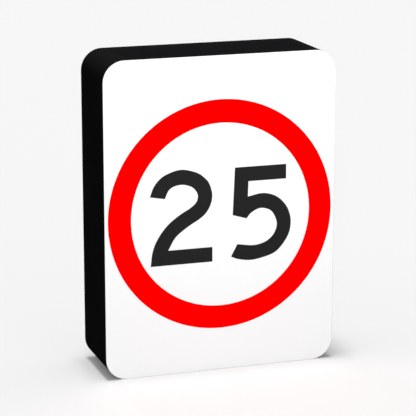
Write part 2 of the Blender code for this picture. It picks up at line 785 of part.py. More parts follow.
def lock_rotor(name, z):
    """The turning insert with its key slot, and the cam on its inner end, hanging down."""
    at = (LOCK_X, z)
    face = Y_DOOR_OUT + FIT + LOCK_FLANGE_T - LOCK_ROTOR_SUNK
    cam_high = Y_PANEL_IN - FIT
    cam_low = cam_high - CAM_T
    section = [
        (LOCK_STUB_R, cam_low - LOCK_STUB_PAST), (LOCK_STUB_R, cam_high + FIT),
        (LOCK_ROTOR_R, cam_high + FIT),
        (LOCK_ROTOR_R, face),
    ]
    rotor = turned(f"{name}_rotor", at, section, "Y", zinc_steel())
    wide, long, deep = KEY_SLOT
    slot = box_outline((LOCK_X - wide / 2, z - long / 2), (LOCK_X + wide / 2, z + long / 2))
    cut(rotor, prism(f"cut_key_{name}", slot, face - deep, face + deep, "Y", None))
    tip_r = CAM_HUB_R * 0.7
    outline = arc(at, CAM_HUB_R, 0, 180, 12)
    outline += arc((LOCK_X, z - CAM_LONG + tip_r), tip_r, 180, 360, 10)
    cam = prism(f"{name}_cam", outline, cam_low, cam_high, "Y", zinc_steel(),
                holes=(circle(at, LOCK_STUB_R + FIT),))
    return [rotor, cam]


def door_group():
    """The door and all that swings with it, carried on the hinges' axis."""
    pieces = [rear_door(), door_gasket()]
    for side, z in hinge_places():
        frame_leaf(side, z)
        pieces.append(door_leaf(side, z))
        hinge_pin(side, z)
    locks = []
    for name, z in lock_places():
        pieces += lock_body(name, z)
        locks.append((name, z, lock_rotor(name, z)))
    swing = pivot("door_axis", (HINGE_X, Y_HINGE, MID_Z), pieces)
    for name, z, turning in locks:
        axis = pivot(f"{name}_axis", (LOCK_X, Y_DOOR_OUT, z), turning)
        axis.parent = swing
        axis.matrix_parent_inverse = swing.matrix_world.inverted()


# ---------------------------------------------------------------- equipment inside

def equipment_plate():
    outline = rounded_rectangle((0, MID_Z), PLATE_W, PLATE_H, PLATE_R, 3)
    prism("equipment_plate", outline, Y_PLATE, Y_PLATE_BACK, "Y", bare_aluminium())


def battery_box():
    """Low and high corners of the battery on its shelf."""
    low = Vector((BATTERY_X - BATTERY[0] / 2, Y_GEAR + SHELF_T + FIT, SHELF_Z + SHELF_T + FIT))
    return low, low + Vector(BATTERY)


def battery_shelf():
    low, high = battery_box()
    lip_in = high.y + FIT
    section = [
        (Y_GEAR, SHELF_Z - SHELF_LEG), (Y_GEAR, SHELF_Z + SHELF_T), (lip_in, SHELF_Z + SHELF_T),
        (lip_in, SHELF_Z + SHELF_LIP), (lip_in + SHELF_T, SHELF_Z + SHELF_LIP),
        (lip_in + SHELF_T, SHELF_Z), (Y_GEAR + SHELF_T, SHELF_Z),
        (Y_GEAR + SHELF_T, SHELF_Z - SHELF_LEG),
    ]
    prism("battery_shelf", section, low.x - SHELF_SIDE, high.x + SHELF_SIDE, "X", zinc_steel())


def battery():
    low, high = battery_box()
    edge = BATTERY_EDGE
    centre = ((low.x + high.x) / 2, (low.y + high.y) / 2)
    section = [(edge, low.z), (0, low.z + edge), (0, high.z - edge), (edge, high.z)]
    shell("battery_case", centre, BATTERY[0], BATTERY[1], BATTERY_R, section, "Z", blue_plastic(),
          steps=3)
    for name, x in battery_posts():
        post = box_outline((x - POST[0] / 2, centre[1] - POST[1] / 2),
                           (x + POST[0] / 2, centre[1] + POST[1] / 2))
        prism(f"battery_terminal_{name}", post, high.z + FIT, high.z + POST[2], "Z", brass())


def battery_posts():
    low, high = battery_box()
    return (("minus", low.x + POST_IN), ("plus", high.x - POST_IN))


def battery_strap():
    """A flat band round the battery, its two feet against the plate."""
    low, high = battery_box()
    left, right, out = low.x - FIT, high.x + FIT, high.y + SHELF_T + 2 * FIT
    foot, t = STRAP_FOOT, STRAP_T
    outline = [
        (left - t - foot, Y_GEAR), (left, Y_GEAR), (left, out), (right, out), (right, Y_GEAR),
        (right + t + foot, Y_GEAR), (right + t + foot, Y_GEAR + t), (right + t, Y_GEAR + t),
        (right + t, out + t), (left - t, out + t), (left - t, Y_GEAR + t),
        (left - t - foot, Y_GEAR + t),
    ]
    middle = (low.z + high.z) / 2
    prism("battery_strap", outline, middle - STRAP_W / 2, middle + STRAP_W / 2, "Z",
          black_rubber())


def on_plate(name, at, size, material, bevel):
    """A box-shaped unit fixed to the equipment plate."""
    low = (at[0] - size[0] / 2, Y_GEAR, MID_Z + at[1] - size[2] / 2)
    high = (at[0] + size[0] / 2, Y_GEAR + size[1], MID_Z + at[1] + size[2] / 2)
    block(name, low, high, material, bevel)


def terminal_block():
    """A row of ways with a fence between each two."""
    base = BLOCK_BASE
    fence_t, fence = BLOCK_FENCE
    left = BLOCK_AT[0] - BLOCK_WAYS * BLOCK_PITCH / 2
    outline = [(left, Y_GEAR)]
    for n in range(BLOCK_WAYS + 1):
        x = left + n * BLOCK_PITCH
        near = x if n == 0 else x - fence_t / 2
        far = x if n == BLOCK_WAYS else x + fence_t / 2
        if n:
            outline.append((near, Y_GEAR + base))
        outline += [(near, Y_GEAR + fence), (far, Y_GEAR + fence)]
        if n < BLOCK_WAYS:
            outline.append((far, Y_GEAR + base))
    outline.append((left + BLOCK_WAYS * BLOCK_PITCH, Y_GEAR))
    low = MID_Z + BLOCK_AT[1] - BLOCK_TALL / 2
    prism("terminal_block", outline, low, low + BLOCK_TALL, "Z", black_plastic())


def bracket_middle():
    return (BRACKET_X[0] + BRACKET_X[1]) / 2


def bracket_face():
    return Y_GEAR + BRACKET_DEEP


def switch_bracket():
    """A folded plate: a foot on the equipment plate, a side, and a face with three holes."""
    left, right = BRACKET_X
    face, t, foot = bracket_face(), BRACKET_T, BRACKET_FOOT
    outline = [
        (left + foot, Y_GEAR), (left + foot, Y_GEAR + t), (left + t, Y_GEAR + t),
        (left + t, face - t), (right, face - t), (right, face), (left, face), (left, Y_GEAR),
    ]
    plate = prism("switch_bracket", outline, SHELF_Z, SHELF_Z + BRACKET_TALL, "Z",
                  bare_aluminium())
    middle = bracket_middle()
    hole_w = ROCKER_FLANGE[0] - 2 * ROCKER_BODY_IN + 2 * FIT
    hole_h = ROCKER_FLANGE[1] - 2 * ROCKER_BODY_IN + 2 * FIT
    holes = {
        "rocker": rounded_rectangle((middle, ROCKER_Z), hole_w, hole_h, BRACKET_HOLE_R, 2),
        "button": circle((middle, BUTTON_Z), BUTTON_BUSH_R + FIT),
        "fuse": circle((middle, FUSE_Z), FUSE_BUSH_R + FIT),
    }
    for name, hole in holes.items():
        cut(plate, prism(f"cut_{name}_hole", hole, face - 2 * t, face + t, "Y", None))


def rocker_switch():
    """A flanged body with a well, and the rocker in it with its upper half pressed in."""
    at = (bracket_middle(), ROCKER_Z)
    flange = bracket_face() + FIT
    front = flange + ROCKER_FLANGE_T
    section = [
        (ROCKER_BODY_IN, front - ROCKER_DEEP), (ROCKER_BODY_IN, flange), (0, flange),
        (0, front - ROCKER_EDGE), (ROCKER_EDGE, front), (ROCKER_RIM, front),
        (ROCKER_RIM, front - ROCKER_WELL),
    ]
    shell("rocker_body", at, *ROCKER_FLANGE, ROCKER_R, section, "Y", black_plastic(), steps=3)
    half = ROCKER_FLANGE[1] / 2 - ROCKER_RIM - FIT
    shape = [(0, ROCKER_DIP)] + arc((0, 0), half, math.degrees(math.asin(ROCKER_CREST / half)),
                                    -math.degrees(math.asin(ROCKER_SOLE / half)), 6)
    shape += [(-s, t) for s, t in reversed(shape[1:])]
    lean = math.radians(ROCKER_TILT)
    axis = (front - ROCKER_AXIS_IN, ROCKER_Z)
    outline = []
    for s, t in shape:
        up = s * math.cos(lean) + t * math.sin(lean)
        out = t * math.cos(lean) - s * math.sin(lean)
        outline.append((axis[0] + out, axis[1] + up))
    wide = ROCKER_FLANGE[0] / 2 - ROCKER_RIM - FIT
    rocker = prism("rocker", outline, at[0] - wide, at[0] + wide, "X", red_plastic())
    pivot("rocker_axis", (at[0], *axis), [rocker])


def test_button():
    """A flanged bush, the button in it and the coil spring behind the button."""
    at = (bracket_middle(), BUTTON_Z)
    flange = bracket_face() + FIT
    front = flange + BUTTON_FLANGE_T
    bottom = front - BUTTON_DEEP + SOCKET_FLOOR
    section = [
        (BUTTON_BUSH_R, front - BUTTON_DEEP), (BUTTON_BUSH_R, flange), (BUTTON_FLANGE_R, flange),
        (BUTTON_FLANGE_R, front), (BUTTON_R + FIT, front), (BUTTON_R + FIT, bottom),
    ]
    turned("test_button_bush", at, section, "Y", bare_aluminium())
    top = front + BUTTON_PROUD
    edge = CONTROL_EDGE
    cap = turned("test_button", at, [
        (BUTTON_R, top - BUTTON_THICK), (BUTTON_R, top - edge), (BUTTON_R - edge, top),
    ], "Y", green_plastic())
    pivot("test_button_axis", (at[0], top, at[1]), [cap])
    button_spring(at, bottom + FIT, top - BUTTON_THICK - FIT)


def button_spring(at, low, high):
    wire, radius, turns, steps = SPRING_WIRE_R, SPRING_R, SPRING_TURNS, 14
    start, end = low + wire, high - wire
    count = turns * steps
    work = bpy.data.curves.new("button_spring", "CURVE")
    work.dimensions = "3D"
    work.bevel_depth = wire
    work.bevel_resolution = 1
    work.use_fill_caps = True
    spline = work.splines.new("POLY")
    spline.points.add(count)
    for i, spot in enumerate(spline.points):
        turn = math.tau * i / steps
        y = start + (end - start) * i / count
        spot.co = (at[0] + radius * math.cos(turn), y, at[1] + radius * math.sin(turn), 1.0)
    work.materials.append(zinc_steel())
    made = bpy.data.objects.new("button_spring", work)
    bpy.context.scene.collection.objects.link(made)


def fuse():
    """A flanged holder and its bayonet cap, which turns."""
    at = (bracket_middle(), FUSE_Z)
    flange = bracket_face() + FIT
    front = flange + BUTTON_FLANGE_T
    well = FUSE_SHAFT_R + FIT
    section = [
        (FUSE_BUSH_R, front - FUSE_DEEP), (FUSE_BUSH_R, flange), (BUTTON_FLANGE_R, flange),
        (BUTTON_FLANGE_R, front), (well, front), (well, front - FUSE_DEEP + SOCKET_FLOOR),
    ]
    turned("fuse_holder", at, section, "Y", black_plastic())
    low = front + FIT
    edge = CONTROL_EDGE
    cap = turned("fuse_cap", at, [
        (FUSE_SHAFT_R, front - FUSE_DEEP / 2), (FUSE_SHAFT_R, low), (FUSE_KNOB_R, low),
        (FUSE_KNOB_R, low + FUSE_KNOB_T - edge), (FUSE_KNOB_R - edge, low + FUSE_KNOB_T),
    ], "Y", black_plastic())
    long, wide, deep = FUSE_SLOT
    slot = box_outline((at[0] - long / 2, at[1] - wide / 2), (at[0] + long / 2, at[1] + wide / 2))
    top = low + FUSE_KNOB_T
    cut(cap, prism("cut_cap_slot", slot, top - deep, top + deep, "Y", None))
    pivot("fuse_cap_axis", (at[0], top, at[1]), [cap])


def cables():
    """The leads inside the box: battery to controller, module to controller, driver to tray."""
    low, high = battery_box()
    middle = (low.y + high.y) / 2
    gear = Y_GEAR + CABLE_OUT
    controller_z, driver_z = MID_Z + CONTROLLER_AT[1], MID_Z + DRIVER_AT[1]
    foot = controller_z - CONTROLLER[2] / 2 - FIT
    posts = dict(battery_posts())
    top = high.z + POST[2] + FIT
    for name, colour, x in (("minus", black_cable(), LEAD_MINUS_X),
                            ("plus", red_cable(), LEAD_PLUS_X)):
        cable(f"battery_lead_{name}", [
            (posts[name], middle, top), (posts[name], middle, top + 12 * MM),
            ((posts[name] + x) / 2, (middle + gear) / 2, top + 24 * MM),
            (x, gear, foot - 12 * MM), (x, gear, foot),
        ], CABLE_R, colour)
    box_low = HEIGHT - SOLAR_T - FIT - JUNCTION_BOX[2] - FIT
    head = controller_z + CONTROLLER[2] / 2 + FIT
    x = JUNCTION_X - JUNCTION_LEAD_IN
    cable("solar_lead", [
        (x, Y_SOLAR, box_low), (x, Y_SOLAR, box_low - 30 * MM),
        (x - 30 * MM, (Y_SOLAR + gear) / 2, box_low - 92 * MM), (0, gear, box_low - 150 * MM),
        (SOLAR_LEAD_X + 20 * MM, gear, head + 40 * MM), (SOLAR_LEAD_X, gear, head + 15 * MM),
        (SOLAR_LEAD_X, gear, head),
    ], CABLE_R, black_cable())
    side = DRIVER_AT[0] + DRIVER[0] / 2 + FIT
    cable("led_feed_cable", [
        (side, gear, driver_z), (side + 15 * MM, gear, driver_z),
        (side + 35 * MM, gear + 4 * MM, driver_z + 15 * MM),
        (PLATE_W / 2 + 15 * MM, gear + 12 * MM, driver_z + 45 * MM),
        (PLATE_W / 2 + TRAY_LEAD_OUT, gear + 8 * MM, driver_z + 62 * MM),
        (PLATE_W / 2 + TRAY_LEAD_OUT, Y_TRAY_BACK + FIT, driver_z + 62 * MM),
    ], CABLE_R, black_cable())


def build():
    clear_scene()
    face_panel()
    ring_film()
    numeral_film("numeral_two_film", numeral_two())
    numeral_film("numeral_five_film", numeral_five())
    face_gasket()
    housing_band()
    panel_gasket()
    rear_panel()
    mount_rail("mount_rail_upper", MID_Z + RAIL_OFF_MID)
    mount_rail("mount_rail_lower", MID_Z - RAIL_OFF_MID)
    breather_vent()
    light_tray()
    led_bars()
    solar_module()
    door_group()
    equipment_plate()
    battery_shelf()
    battery()
    battery_strap()
    on_plate("charge_controller", CONTROLLER_AT, CONTROLLER, grey_plastic(), CONTROLLER_EDGE)
    on_plate("led_driver", DRIVER_AT, DRIVER, white_coat(), DRIVER_EDGE)
    terminal_block()
    switch_bracket()
    rocker_switch()
    test_button()
    fuse()
    cables()


build()
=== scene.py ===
"""Looks for the solar speed sign: a black box with a flat white face, a red ring and numerals."""

import json
import math

import bmesh
import bpy
from mathutils import Matrix, Vector


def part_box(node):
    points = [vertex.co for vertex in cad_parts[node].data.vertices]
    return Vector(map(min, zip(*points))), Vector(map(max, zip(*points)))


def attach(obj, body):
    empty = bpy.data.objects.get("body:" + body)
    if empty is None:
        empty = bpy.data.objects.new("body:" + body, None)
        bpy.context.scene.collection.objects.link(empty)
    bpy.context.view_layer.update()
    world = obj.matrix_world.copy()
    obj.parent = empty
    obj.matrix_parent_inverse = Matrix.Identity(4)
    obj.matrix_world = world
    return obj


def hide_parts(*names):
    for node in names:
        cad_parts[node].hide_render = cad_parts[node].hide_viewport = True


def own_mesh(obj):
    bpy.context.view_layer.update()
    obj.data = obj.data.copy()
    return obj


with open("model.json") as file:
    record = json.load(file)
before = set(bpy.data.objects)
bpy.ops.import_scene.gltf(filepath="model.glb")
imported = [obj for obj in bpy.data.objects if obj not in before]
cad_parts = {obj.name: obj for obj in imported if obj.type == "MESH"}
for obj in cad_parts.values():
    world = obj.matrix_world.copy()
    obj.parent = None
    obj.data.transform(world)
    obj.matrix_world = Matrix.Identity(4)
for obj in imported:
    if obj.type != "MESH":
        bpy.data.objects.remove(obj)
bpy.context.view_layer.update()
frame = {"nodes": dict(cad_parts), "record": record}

MM = 0.001
CORNER_R = 54 * MM
WALL = 3 * MM
FIT = 0.3 * MM  # gap kept between pieces that touch
HAIRLINE = 0.005 * MM  # points closer than this are one
LEDGE_IN = 20 * MM
CORNER_STEPS = 24
RIGHT_ANGLE = math.radians(90)
LOCKS = ("lock_upper", "lock_lower")

LOW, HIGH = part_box("housing_band")
PANEL_LOW, PANEL_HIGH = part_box("rear_panel")


# ---- working in the modeller

def clear_selection():
    """Object mode, with nothing selected."""
    if bpy.context.object and bpy.context.object.mode != "OBJECT":
        bpy.ops.object.mode_set(mode="OBJECT")
    bpy.ops.object.select_all(action="DESELECT")


def activate(piece):
    """Makes a piece the only one selected."""
    clear_selection()
    piece.select_set(True)
    bpy.context.view_layer.objects.active = piece


def edit_all(piece):
    """In edit mode, with the whole piece selected."""
    activate(piece)
    bpy.ops.object.mode_set(mode="EDIT")
    bpy.ops.mesh.select_all(action="SELECT")


def settle(name):
    """Names the new object and puts its place into its mesh."""
    piece = bpy.context.object
    piece.name = piece.data.name = name
    bpy.ops.object.transform_apply(location=True, rotation=True, scale=True)
    return piece


def pick(piece, test, kind="FACE"):
    """In edit mode, selects the faces or edges that pass the test, and no others."""
    activate(piece)
    bpy.ops.object.mode_set(mode="EDIT")
    bpy.ops.mesh.select_mode(type=kind)
    bpy.ops.mesh.select_all(action="DESELECT")
    mesh = bmesh.from_edit_mesh(piece.data)
    for part in (mesh.faces if kind == "FACE" else mesh.edges):
        part.select_set(bool(test(part)))
    mesh.select_flush_mode()
    bmesh.update_edit_mesh(piece.data)


def leave_edit():
    """Back to object mode."""
    bpy.ops.object.mode_set(mode="OBJECT")


def modify(piece, kind, **settings):
    """Adds a modifier and applies it at once."""
    change = piece.modifiers.new(kind.title(), kind)
    for key, value in settings.items():
        setattr(change, key, value)
    activate(piece)
    bpy.ops.object.modifier_apply(modifier=change.name)


def round_edges(piece, width, segments=2, angle=40):
    """Rounds every edge that is sharper than an angle in degrees."""
    modify(piece, "BEVEL", width=width, segments=segments, limit_method="ANGLE",
           angle_limit=math.radians(angle), harden_normals=False)


def along(edge, axis):
    """Whether an edge runs along an axis."""
    line = edge.verts[0].co - edge.verts[1].co
    return abs(line[axis]) > 0.99 * line.length > 0


def ease(piece, test, width, segments):
    """Rounds the edges that pass the test."""
    pick(piece, test, "EDGE")
    bpy.ops.mesh.bevel(offset=width, segments=segments, affect="EDGES")
    leave_edit()


def ease_rim(piece, level, width, segments):
    """Rounds the edges round a flat side that lies across the depth at a level."""
    ease(piece, lambda e: not along(e, 1) and all(abs(v.co.y - level) < 0.1 * MM for v in e.verts),
         width, segments)


def carve(piece, *cutters):
    """Cuts the cutters out of the piece, and removes them."""
    for cutter in cutters:
        modify(piece, "BOOLEAN", operation="DIFFERENCE", object=cutter, solver="EXACT")
        bpy.data.objects.remove(cutter)


def weld_on(piece, *others):
    """Joins solids into the piece by a union, and removes them."""
    for other in others:
        modify(piece, "BOOLEAN", operation="UNION", object=other, solver="EXACT")
        bpy.data.objects.remove(other)


def facing_out(piece, merge_flats=False):
    """Closes hairline gaps and turns the faces outwards; level faces can be merged into one."""
    edit_all(piece)
    bpy.ops.mesh.remove_doubles(threshold=HAIRLINE)
    if merge_flats:
        bpy.ops.mesh.dissolve_limited(angle_limit=math.radians(1))
    bpy.ops.mesh.normals_make_consistent(inside=False)
    leave_edit()


def copy_to(piece, name, shift):
    """A copy with its own mesh, moved by a shift."""
    twin = piece.copy()
    twin.data = piece.data.copy()
    bpy.context.scene.collection.objects.link(twin)
    twin.location = shift
    activate(twin)
    return settle(name)


def repeat(piece, name, places):
    """Copies of a piece at several places, joined into one object; the pattern is removed."""
    twins = [copy_to(piece, name, place) for place in places]
    bpy.data.objects.remove(piece)
    return gather(twins, name)


def install(piece, look, *replaced, body="housing", smooth=35):
    """Gives a finished piece its material and smooth shading, puts it on its body, and hides the
    CAD nodes that it replaces.
    """
    activate(piece)
    if not piece.data.materials:
        piece.data.materials.append(look)
    bpy.ops.object.shade_smooth_by_angle(angle=math.radians(smooth))
    modify(piece, "WEIGHTED_NORMAL", keep_sharp=True)
    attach(piece, body)
    if replaced:
        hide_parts(*replaced)
    return piece


def loose_copy(name, source):
    """A copy of a CAD node with its triangles merged into whole faces."""
    twin = bpy.data.objects.new(name, frame["nodes"][source].data.copy())
    bpy.context.scene.collection.objects.link(twin)
    twin.data.name = name
    twin.data.materials.clear()
    facing_out(twin, merge_flats=True)
    return twin


def node_middle(name):
    """The middle of a CAD node's box."""
    low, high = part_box(name)
    return (low + high) / 2


def refined(name, source, look, edge=0.0, segments=2, swell=0.0, body="housing", smooth=35):
    """A CAD node's copy with its edges eased, or smoothed all over and swollen back to size."""
    piece = loose_copy(name, source)
    if edge:
        round_edges(piece, edge, segments)
    if swell:
        modify(piece, "SUBSURF", levels=1, render_levels=1)
        edit_all(piece)
        bpy.ops.transform.shrink_fatten(value=swell)
        leave_edit()
    return install(piece, look, source, body=body, smooth=smooth)


def turn_about(piece, centre, axis, angle):
    """Turns a piece about a line through a point, along an axis."""
    line = Vector((0, 0, 0))
    line[axis] = 1
    hub = Matrix.Translation(Vector(centre))
    piece.matrix_world = hub @ Matrix.Rotation(angle, 4, line) @ hub.inverted()
    activate(piece)
    bpy.ops.object.transform_apply(location=True, rotation=True, scale=True)


def ring_of(piece, name, centre, axis, count):
    """Copies of a piece set round a point, joined into one object; the pattern is removed."""
    twins = []
    for n in range(count):
        twin = copy_to(piece, name, (0, 0, 0))
        turn_about(twin, centre, axis, math.tau * n / count)
        twins.append(twin)
    bpy.data.objects.remove(piece)
    return gather(twins, name)


def gather(pieces, name):
    """Joins objects into one, as loose parts of it."""
    clear_selection()
    for piece in pieces:
        piece.select_set(True)
    bpy.context.view_layer.objects.active = pieces[0]
    if len(pieces) > 1:
        bpy.ops.object.join()
    return settle(name)


# ---- shapes

def cube(name, low, high):
    """A plain block between two corners."""
    low, high = Vector(low), Vector(high)
    clear_selection()
    bpy.ops.mesh.primitive_cube_add(size=1, location=(low + high) / 2, scale=high - low)
    return settle(name)


def slab(name, low, high, corner=0.0, axis=1, steps=6):
    """A block whose four edges along one axis are rounded."""
    piece = cube(name, low, high)
    if corner:
        ease(piece, lambda e: along(e, axis), corner, steps)
    return piece


TURN_TO = {0: (0, RIGHT_ANGLE, 0), 1: (-RIGHT_ANGLE, 0, 0), 2: (0, 0, 0)}


def turned(name, centre, axis, stations, steps=40):
    """A turned solid: a disc drawn out along an axis through (radius, depth) stations."""
    radius, depth = stations[0]
    at = Vector(centre)
    at[axis] = depth
    clear_selection()
    bpy.ops.mesh.primitive_circle_add(vertices=steps, radius=radius, fill_type="NGON",
                                      location=at, rotation=TURN_TO[axis])
    piece = settle(name)
    bpy.ops.object.mode_set(mode="EDIT")
    bpy.ops.mesh.select_mode(type="FACE")
    bpy.ops.mesh.select_all(action="SELECT")
    for new_radius, new_depth in stations[1:]:
        step = Vector((0, 0, 0))
        step[axis] = new_depth - depth
        bpy.ops.mesh.extrude_region_move(TRANSFORM_OT_translate={"value": step})
        at[axis] = new_depth
        share = new_radius / radius
        if share != 1:
            bpy.ops.transform.resize(value=(share, share, share), center_override=at)
        radius, depth = new_radius, new_depth
    leave_edit()
    facing_out(piece)
    return piece


def prism(name, centre, radius, sides, axis, low, high):
    """A straight many-sided bar between two depths along an axis."""
    at = Vector(centre)
    at[axis] = (low + high) / 2
    clear_selection()
    bpy.ops.mesh.primitive_cylinder_add(vertices=sides, radius=radius, depth=high - low,
                                        location=at, rotation=TURN_TO[axis])
    return settle(name)


def strip(name, low, high):
    """A flat sheet with no thickness, between two corners that share one depth."""
    low, high = Vector(low), Vector(high)
    size = high - low
    axis = min(range(3), key=lambda i: size[i])
    wide = (size.z, size.x, size.x)[axis]
    deep = (size.y, size.z, size.y)[axis]
    clear_selection()
    bpy.ops.mesh.primitive_plane_add(size=1, location=(low + high) / 2, rotation=TURN_TO[axis])
    bpy.context.object.scale = (wide, deep, 1)
    return settle(name)


def draw_on(piece, start, steps):
    """Draws a sheet on from the edge whose middle is at a point, fold by fold."""
    start = Vector(start)
    pick(piece, lambda e: ((e.verts[0].co + e.verts[1].co) / 2 - start).length < 0.01 * MM, "EDGE")
    for step in steps:
        bpy.ops.mesh.extrude_region_move(TRANSFORM_OT_translate={"value": step})
    leave_edit()


def fold_and_thicken(piece, bend, thick, side):
    """Rounds a sheet's bends and thickens it: side 1 is along its normals, -1 against them."""
    edit_all(piece)
    bpy.ops.mesh.normals_make_consistent(inside=False)
    leave_edit()
    modify(piece, "BEVEL", width=bend, segments=5, limit_method="ANGLE")
    modify(piece, "SOLIDIFY", thickness=thick, offset=side, use_even_offset=True)


def screw(name, centre, radius, proud, recess=0.55):
    """A domed screw head facing the rear, with a cross recess."""
    x, y, z = centre
    head = turned(name, centre, 1, [
        (radius, y - 0.2 * MM), (radius, y + 0.3 * proud), (0.86 * radius, y + 0.72 * proud),
        (0.45 * radius, y + proud),
    ], steps=20)
    arm, width = recess * radius, 0.14 * radius
    for wide, tall in ((arm, width), (width, arm)):
        carve(head, cube("recess", (x - wide, y + 0.45 * proud, z - tall),
                         (x + wide, y + 2 * proud, z + tall)))
    return head


def screws(name, at, radius, proud, places):
    """Equal zinc screws at several places, as one piece."""
    install(repeat(screw("pattern", at, radius, proud), name, places), ZINC)


def bolt(name, centre, radius, tall, washer):
    """A hexagon bolt head on a washer, facing the rear."""
    y, washer_r = centre[1], 1.55 * radius
    ring = turned(name, centre, 1, [(washer_r, y), (washer_r, y + washer)], steps=32)
    head = prism("head", centre, radius, 6, 1, y + 0.5 * washer, y + washer + tall)
    round_edges(head, 0.35 * MM)
    return gather([ring, head], name)


# ---- materials

# The colour sockets of a Mix node, by number, because its names repeat for each kind of value
UNDER, OVER, MIXED = 6, 7, 2

def new_look(name, colour, roughness, metallic=0.0, specular=0.5):
    """A material with its even values on the shader's own sockets."""
    look = bpy.data.materials.new(name)
    look.use_nodes = True
    values = {"Base Color": (*colour, 1), "Roughness": roughness, "Metallic": metallic,
              "Specular IOR Level": specular}
    for socket, value in values.items():
        shader_of(look).inputs[socket].default_value = value
    return look


def node(look, kind, **settings):
    """A new node; each setting goes to the socket of its name, or else to the node itself."""
    made = look.node_tree.nodes.new(kind)
    for key, value in settings.items():
        if key in made.inputs:
            made.inputs[key].default_value = value
        else:
            setattr(made, key, value)
    return made


def shader_of(look):
    """A material's main shader."""
    return look.node_tree.nodes["Principled BSDF"]


def link(look, source, target):
    """Joins one socket to another."""
    look.node_tree.links.new(source, target)


def feed(look, source, socket):
    """Joins a value or colour to a socket of the main shader."""
    link(look, source, shader_of(look).inputs[socket])


def coordinates(look, stretch=(1, 1, 1), shift=(0, 0, 0)):
    """Object coordinates, stretched and shifted per axis."""
    place = node(look, "ShaderNodeTexCoord")
    mapping = node(look, "ShaderNodeMapping", Scale=stretch, Location=shift)
    link(look, place.outputs["Object"], mapping.inputs["Vector"])
    return mapping.outputs["Vector"]


def noise(look, scale, detail=2.0, roughness=0.5, stretch=(1, 1, 1)):
    """A cloudy pattern from 0 to 1; the scale counts its clouds in a metre."""
    made = node(look, "ShaderNodeTexNoise", Scale=scale, Detail=detail, Roughness=roughness)
    link(look, coordinates(look, stretch), made.inputs["Vector"])
    return made.outputs["Fac"]


def spread(look, source, low, high, start=0.0, end=1.0):
    """A value stretched from one range to another."""
    ranges = {"From Min": start, "From Max": end, "To Min": low, "To Max": high}
    made = node(look, "ShaderNodeMapRange", **ranges)
    link(look, source, made.inputs["Value"])
    return made.outputs["Result"]


def blend_colours(look, source, first, second):
    """One colour where the source is 0, another where it is 1."""
    made = node(look, "ShaderNodeMix", data_type="RGBA")
    made.inputs[UNDER].default_value = (*first, 1)
    made.inputs[OVER].default_value = (*second, 1)
    link(look, source, made.inputs["Factor"])
    return made.outputs[MIXED]


def layer(look, share, under, over):
    """One even colour laid over a pattern, where the share is 1."""
    made = node(look, "ShaderNodeMix", data_type="RGBA")
    made.inputs[OVER].default_value = (*over, 1)
    link(look, share, made.inputs["Factor"])
    link(look, under, made.inputs[UNDER])
    return made.outputs[MIXED]


def bump(look, source, height, strength=1.0):
    """Raises the surface by a height, in metres, where the source is 1."""
    made = node(look, "ShaderNodeBump", Strength=strength, Distance=height)
    link(look, source, made.inputs["Height"])
    feed(look, made.outputs["Normal"], "Normal")


def coated(name, colour, lighter, roughness, specular, grain=0.12 * MM):
    """Powder coat: a fine even orange-peel with faint patches where it dulls."""
    look = new_look(name, colour, roughness, specular=specular)
    patches = noise(look, 9, detail=4, roughness=0.6)
    share = spread(look, patches, 0, 1, 0.35, 0.7)
    feed(look, blend_colours(look, share, colour, lighter), "Base Color")
    duller = spread(look, patches, roughness - 0.05, roughness + 0.07, 0.3, 0.7)
    feed(look, duller, "Roughness")
    bump(look, noise(look, 420, detail=4, roughness=0.7), grain, 0.8)
    return look


def band_coat_with_painted_top_light(name, colour, lighter, painted_top_light):
    """The band's coat, with painted light: its colour turns lighter towards the top, where light
    from above falls.
    """
    look = coated(name, colour, lighter, 0.6, 0.0)
    plain = shader_of(look).inputs["Base Color"].links[0].from_socket
    height = node(look, "ShaderNodeSeparateXYZ")
    link(look, coordinates(look), height.inputs["Vector"])
    # Painted light: from the upper part of the top corners up to the top, the base colour turns to
    # the lighter painted top-light colour.
    share = spread(look, height.outputs["Z"], 0, 1, HIGH.z - 0.8 * CORNER_R, HIGH.z)
    feed(look, layer(look, share, plain, painted_top_light), "Base Color")
    return look


def moulded(name, colour, roughness=0.5, specular=0.4):
    """Moulded plastic with a fine spark-eroded texture."""
    look = new_look(name, colour, roughness, specular=specular)
    cloud = noise(look, 40, detail=3)
    feed(look, spread(look, cloud, roughness - 0.06, roughness + 0.06), "Roughness")
    bump(look, noise(look, 2200, detail=2), 0.02 * MM, 0.5)
    return look


def drawn_metal(name, colour, roughness, stretch):
    """Metal with fine drawing lines along one axis."""
    look = new_look(name, colour, roughness, metallic=1.0)
    lines = noise(look, 900, detail=2, stretch=stretch)
    cloud = noise(look, 30, detail=4, roughness=0.6)
    darker = tuple(c * 0.82 for c in colour)
    feed(look, blend_colours(look, cloud, darker, colour), "Base Color")
    feed(look, spread(look, lines, roughness - 0.08, roughness + 0.12), "Roughness")
    bump(look, lines, 0.008 * MM, 0.5)
    return look


def film(name, colour, roughness, specular):
    """Smooth adhesive film with the slightest waviness."""
    look = new_look(name, colour, roughness, specular=specular)
    cloud = noise(look, 25, detail=3)
    feed(look, spread(look, cloud, roughness - 0.04, roughness + 0.05), "Roughness")
    bump(look, noise(look, 60, detail=2), 0.05 * MM, 0.2)
    return look
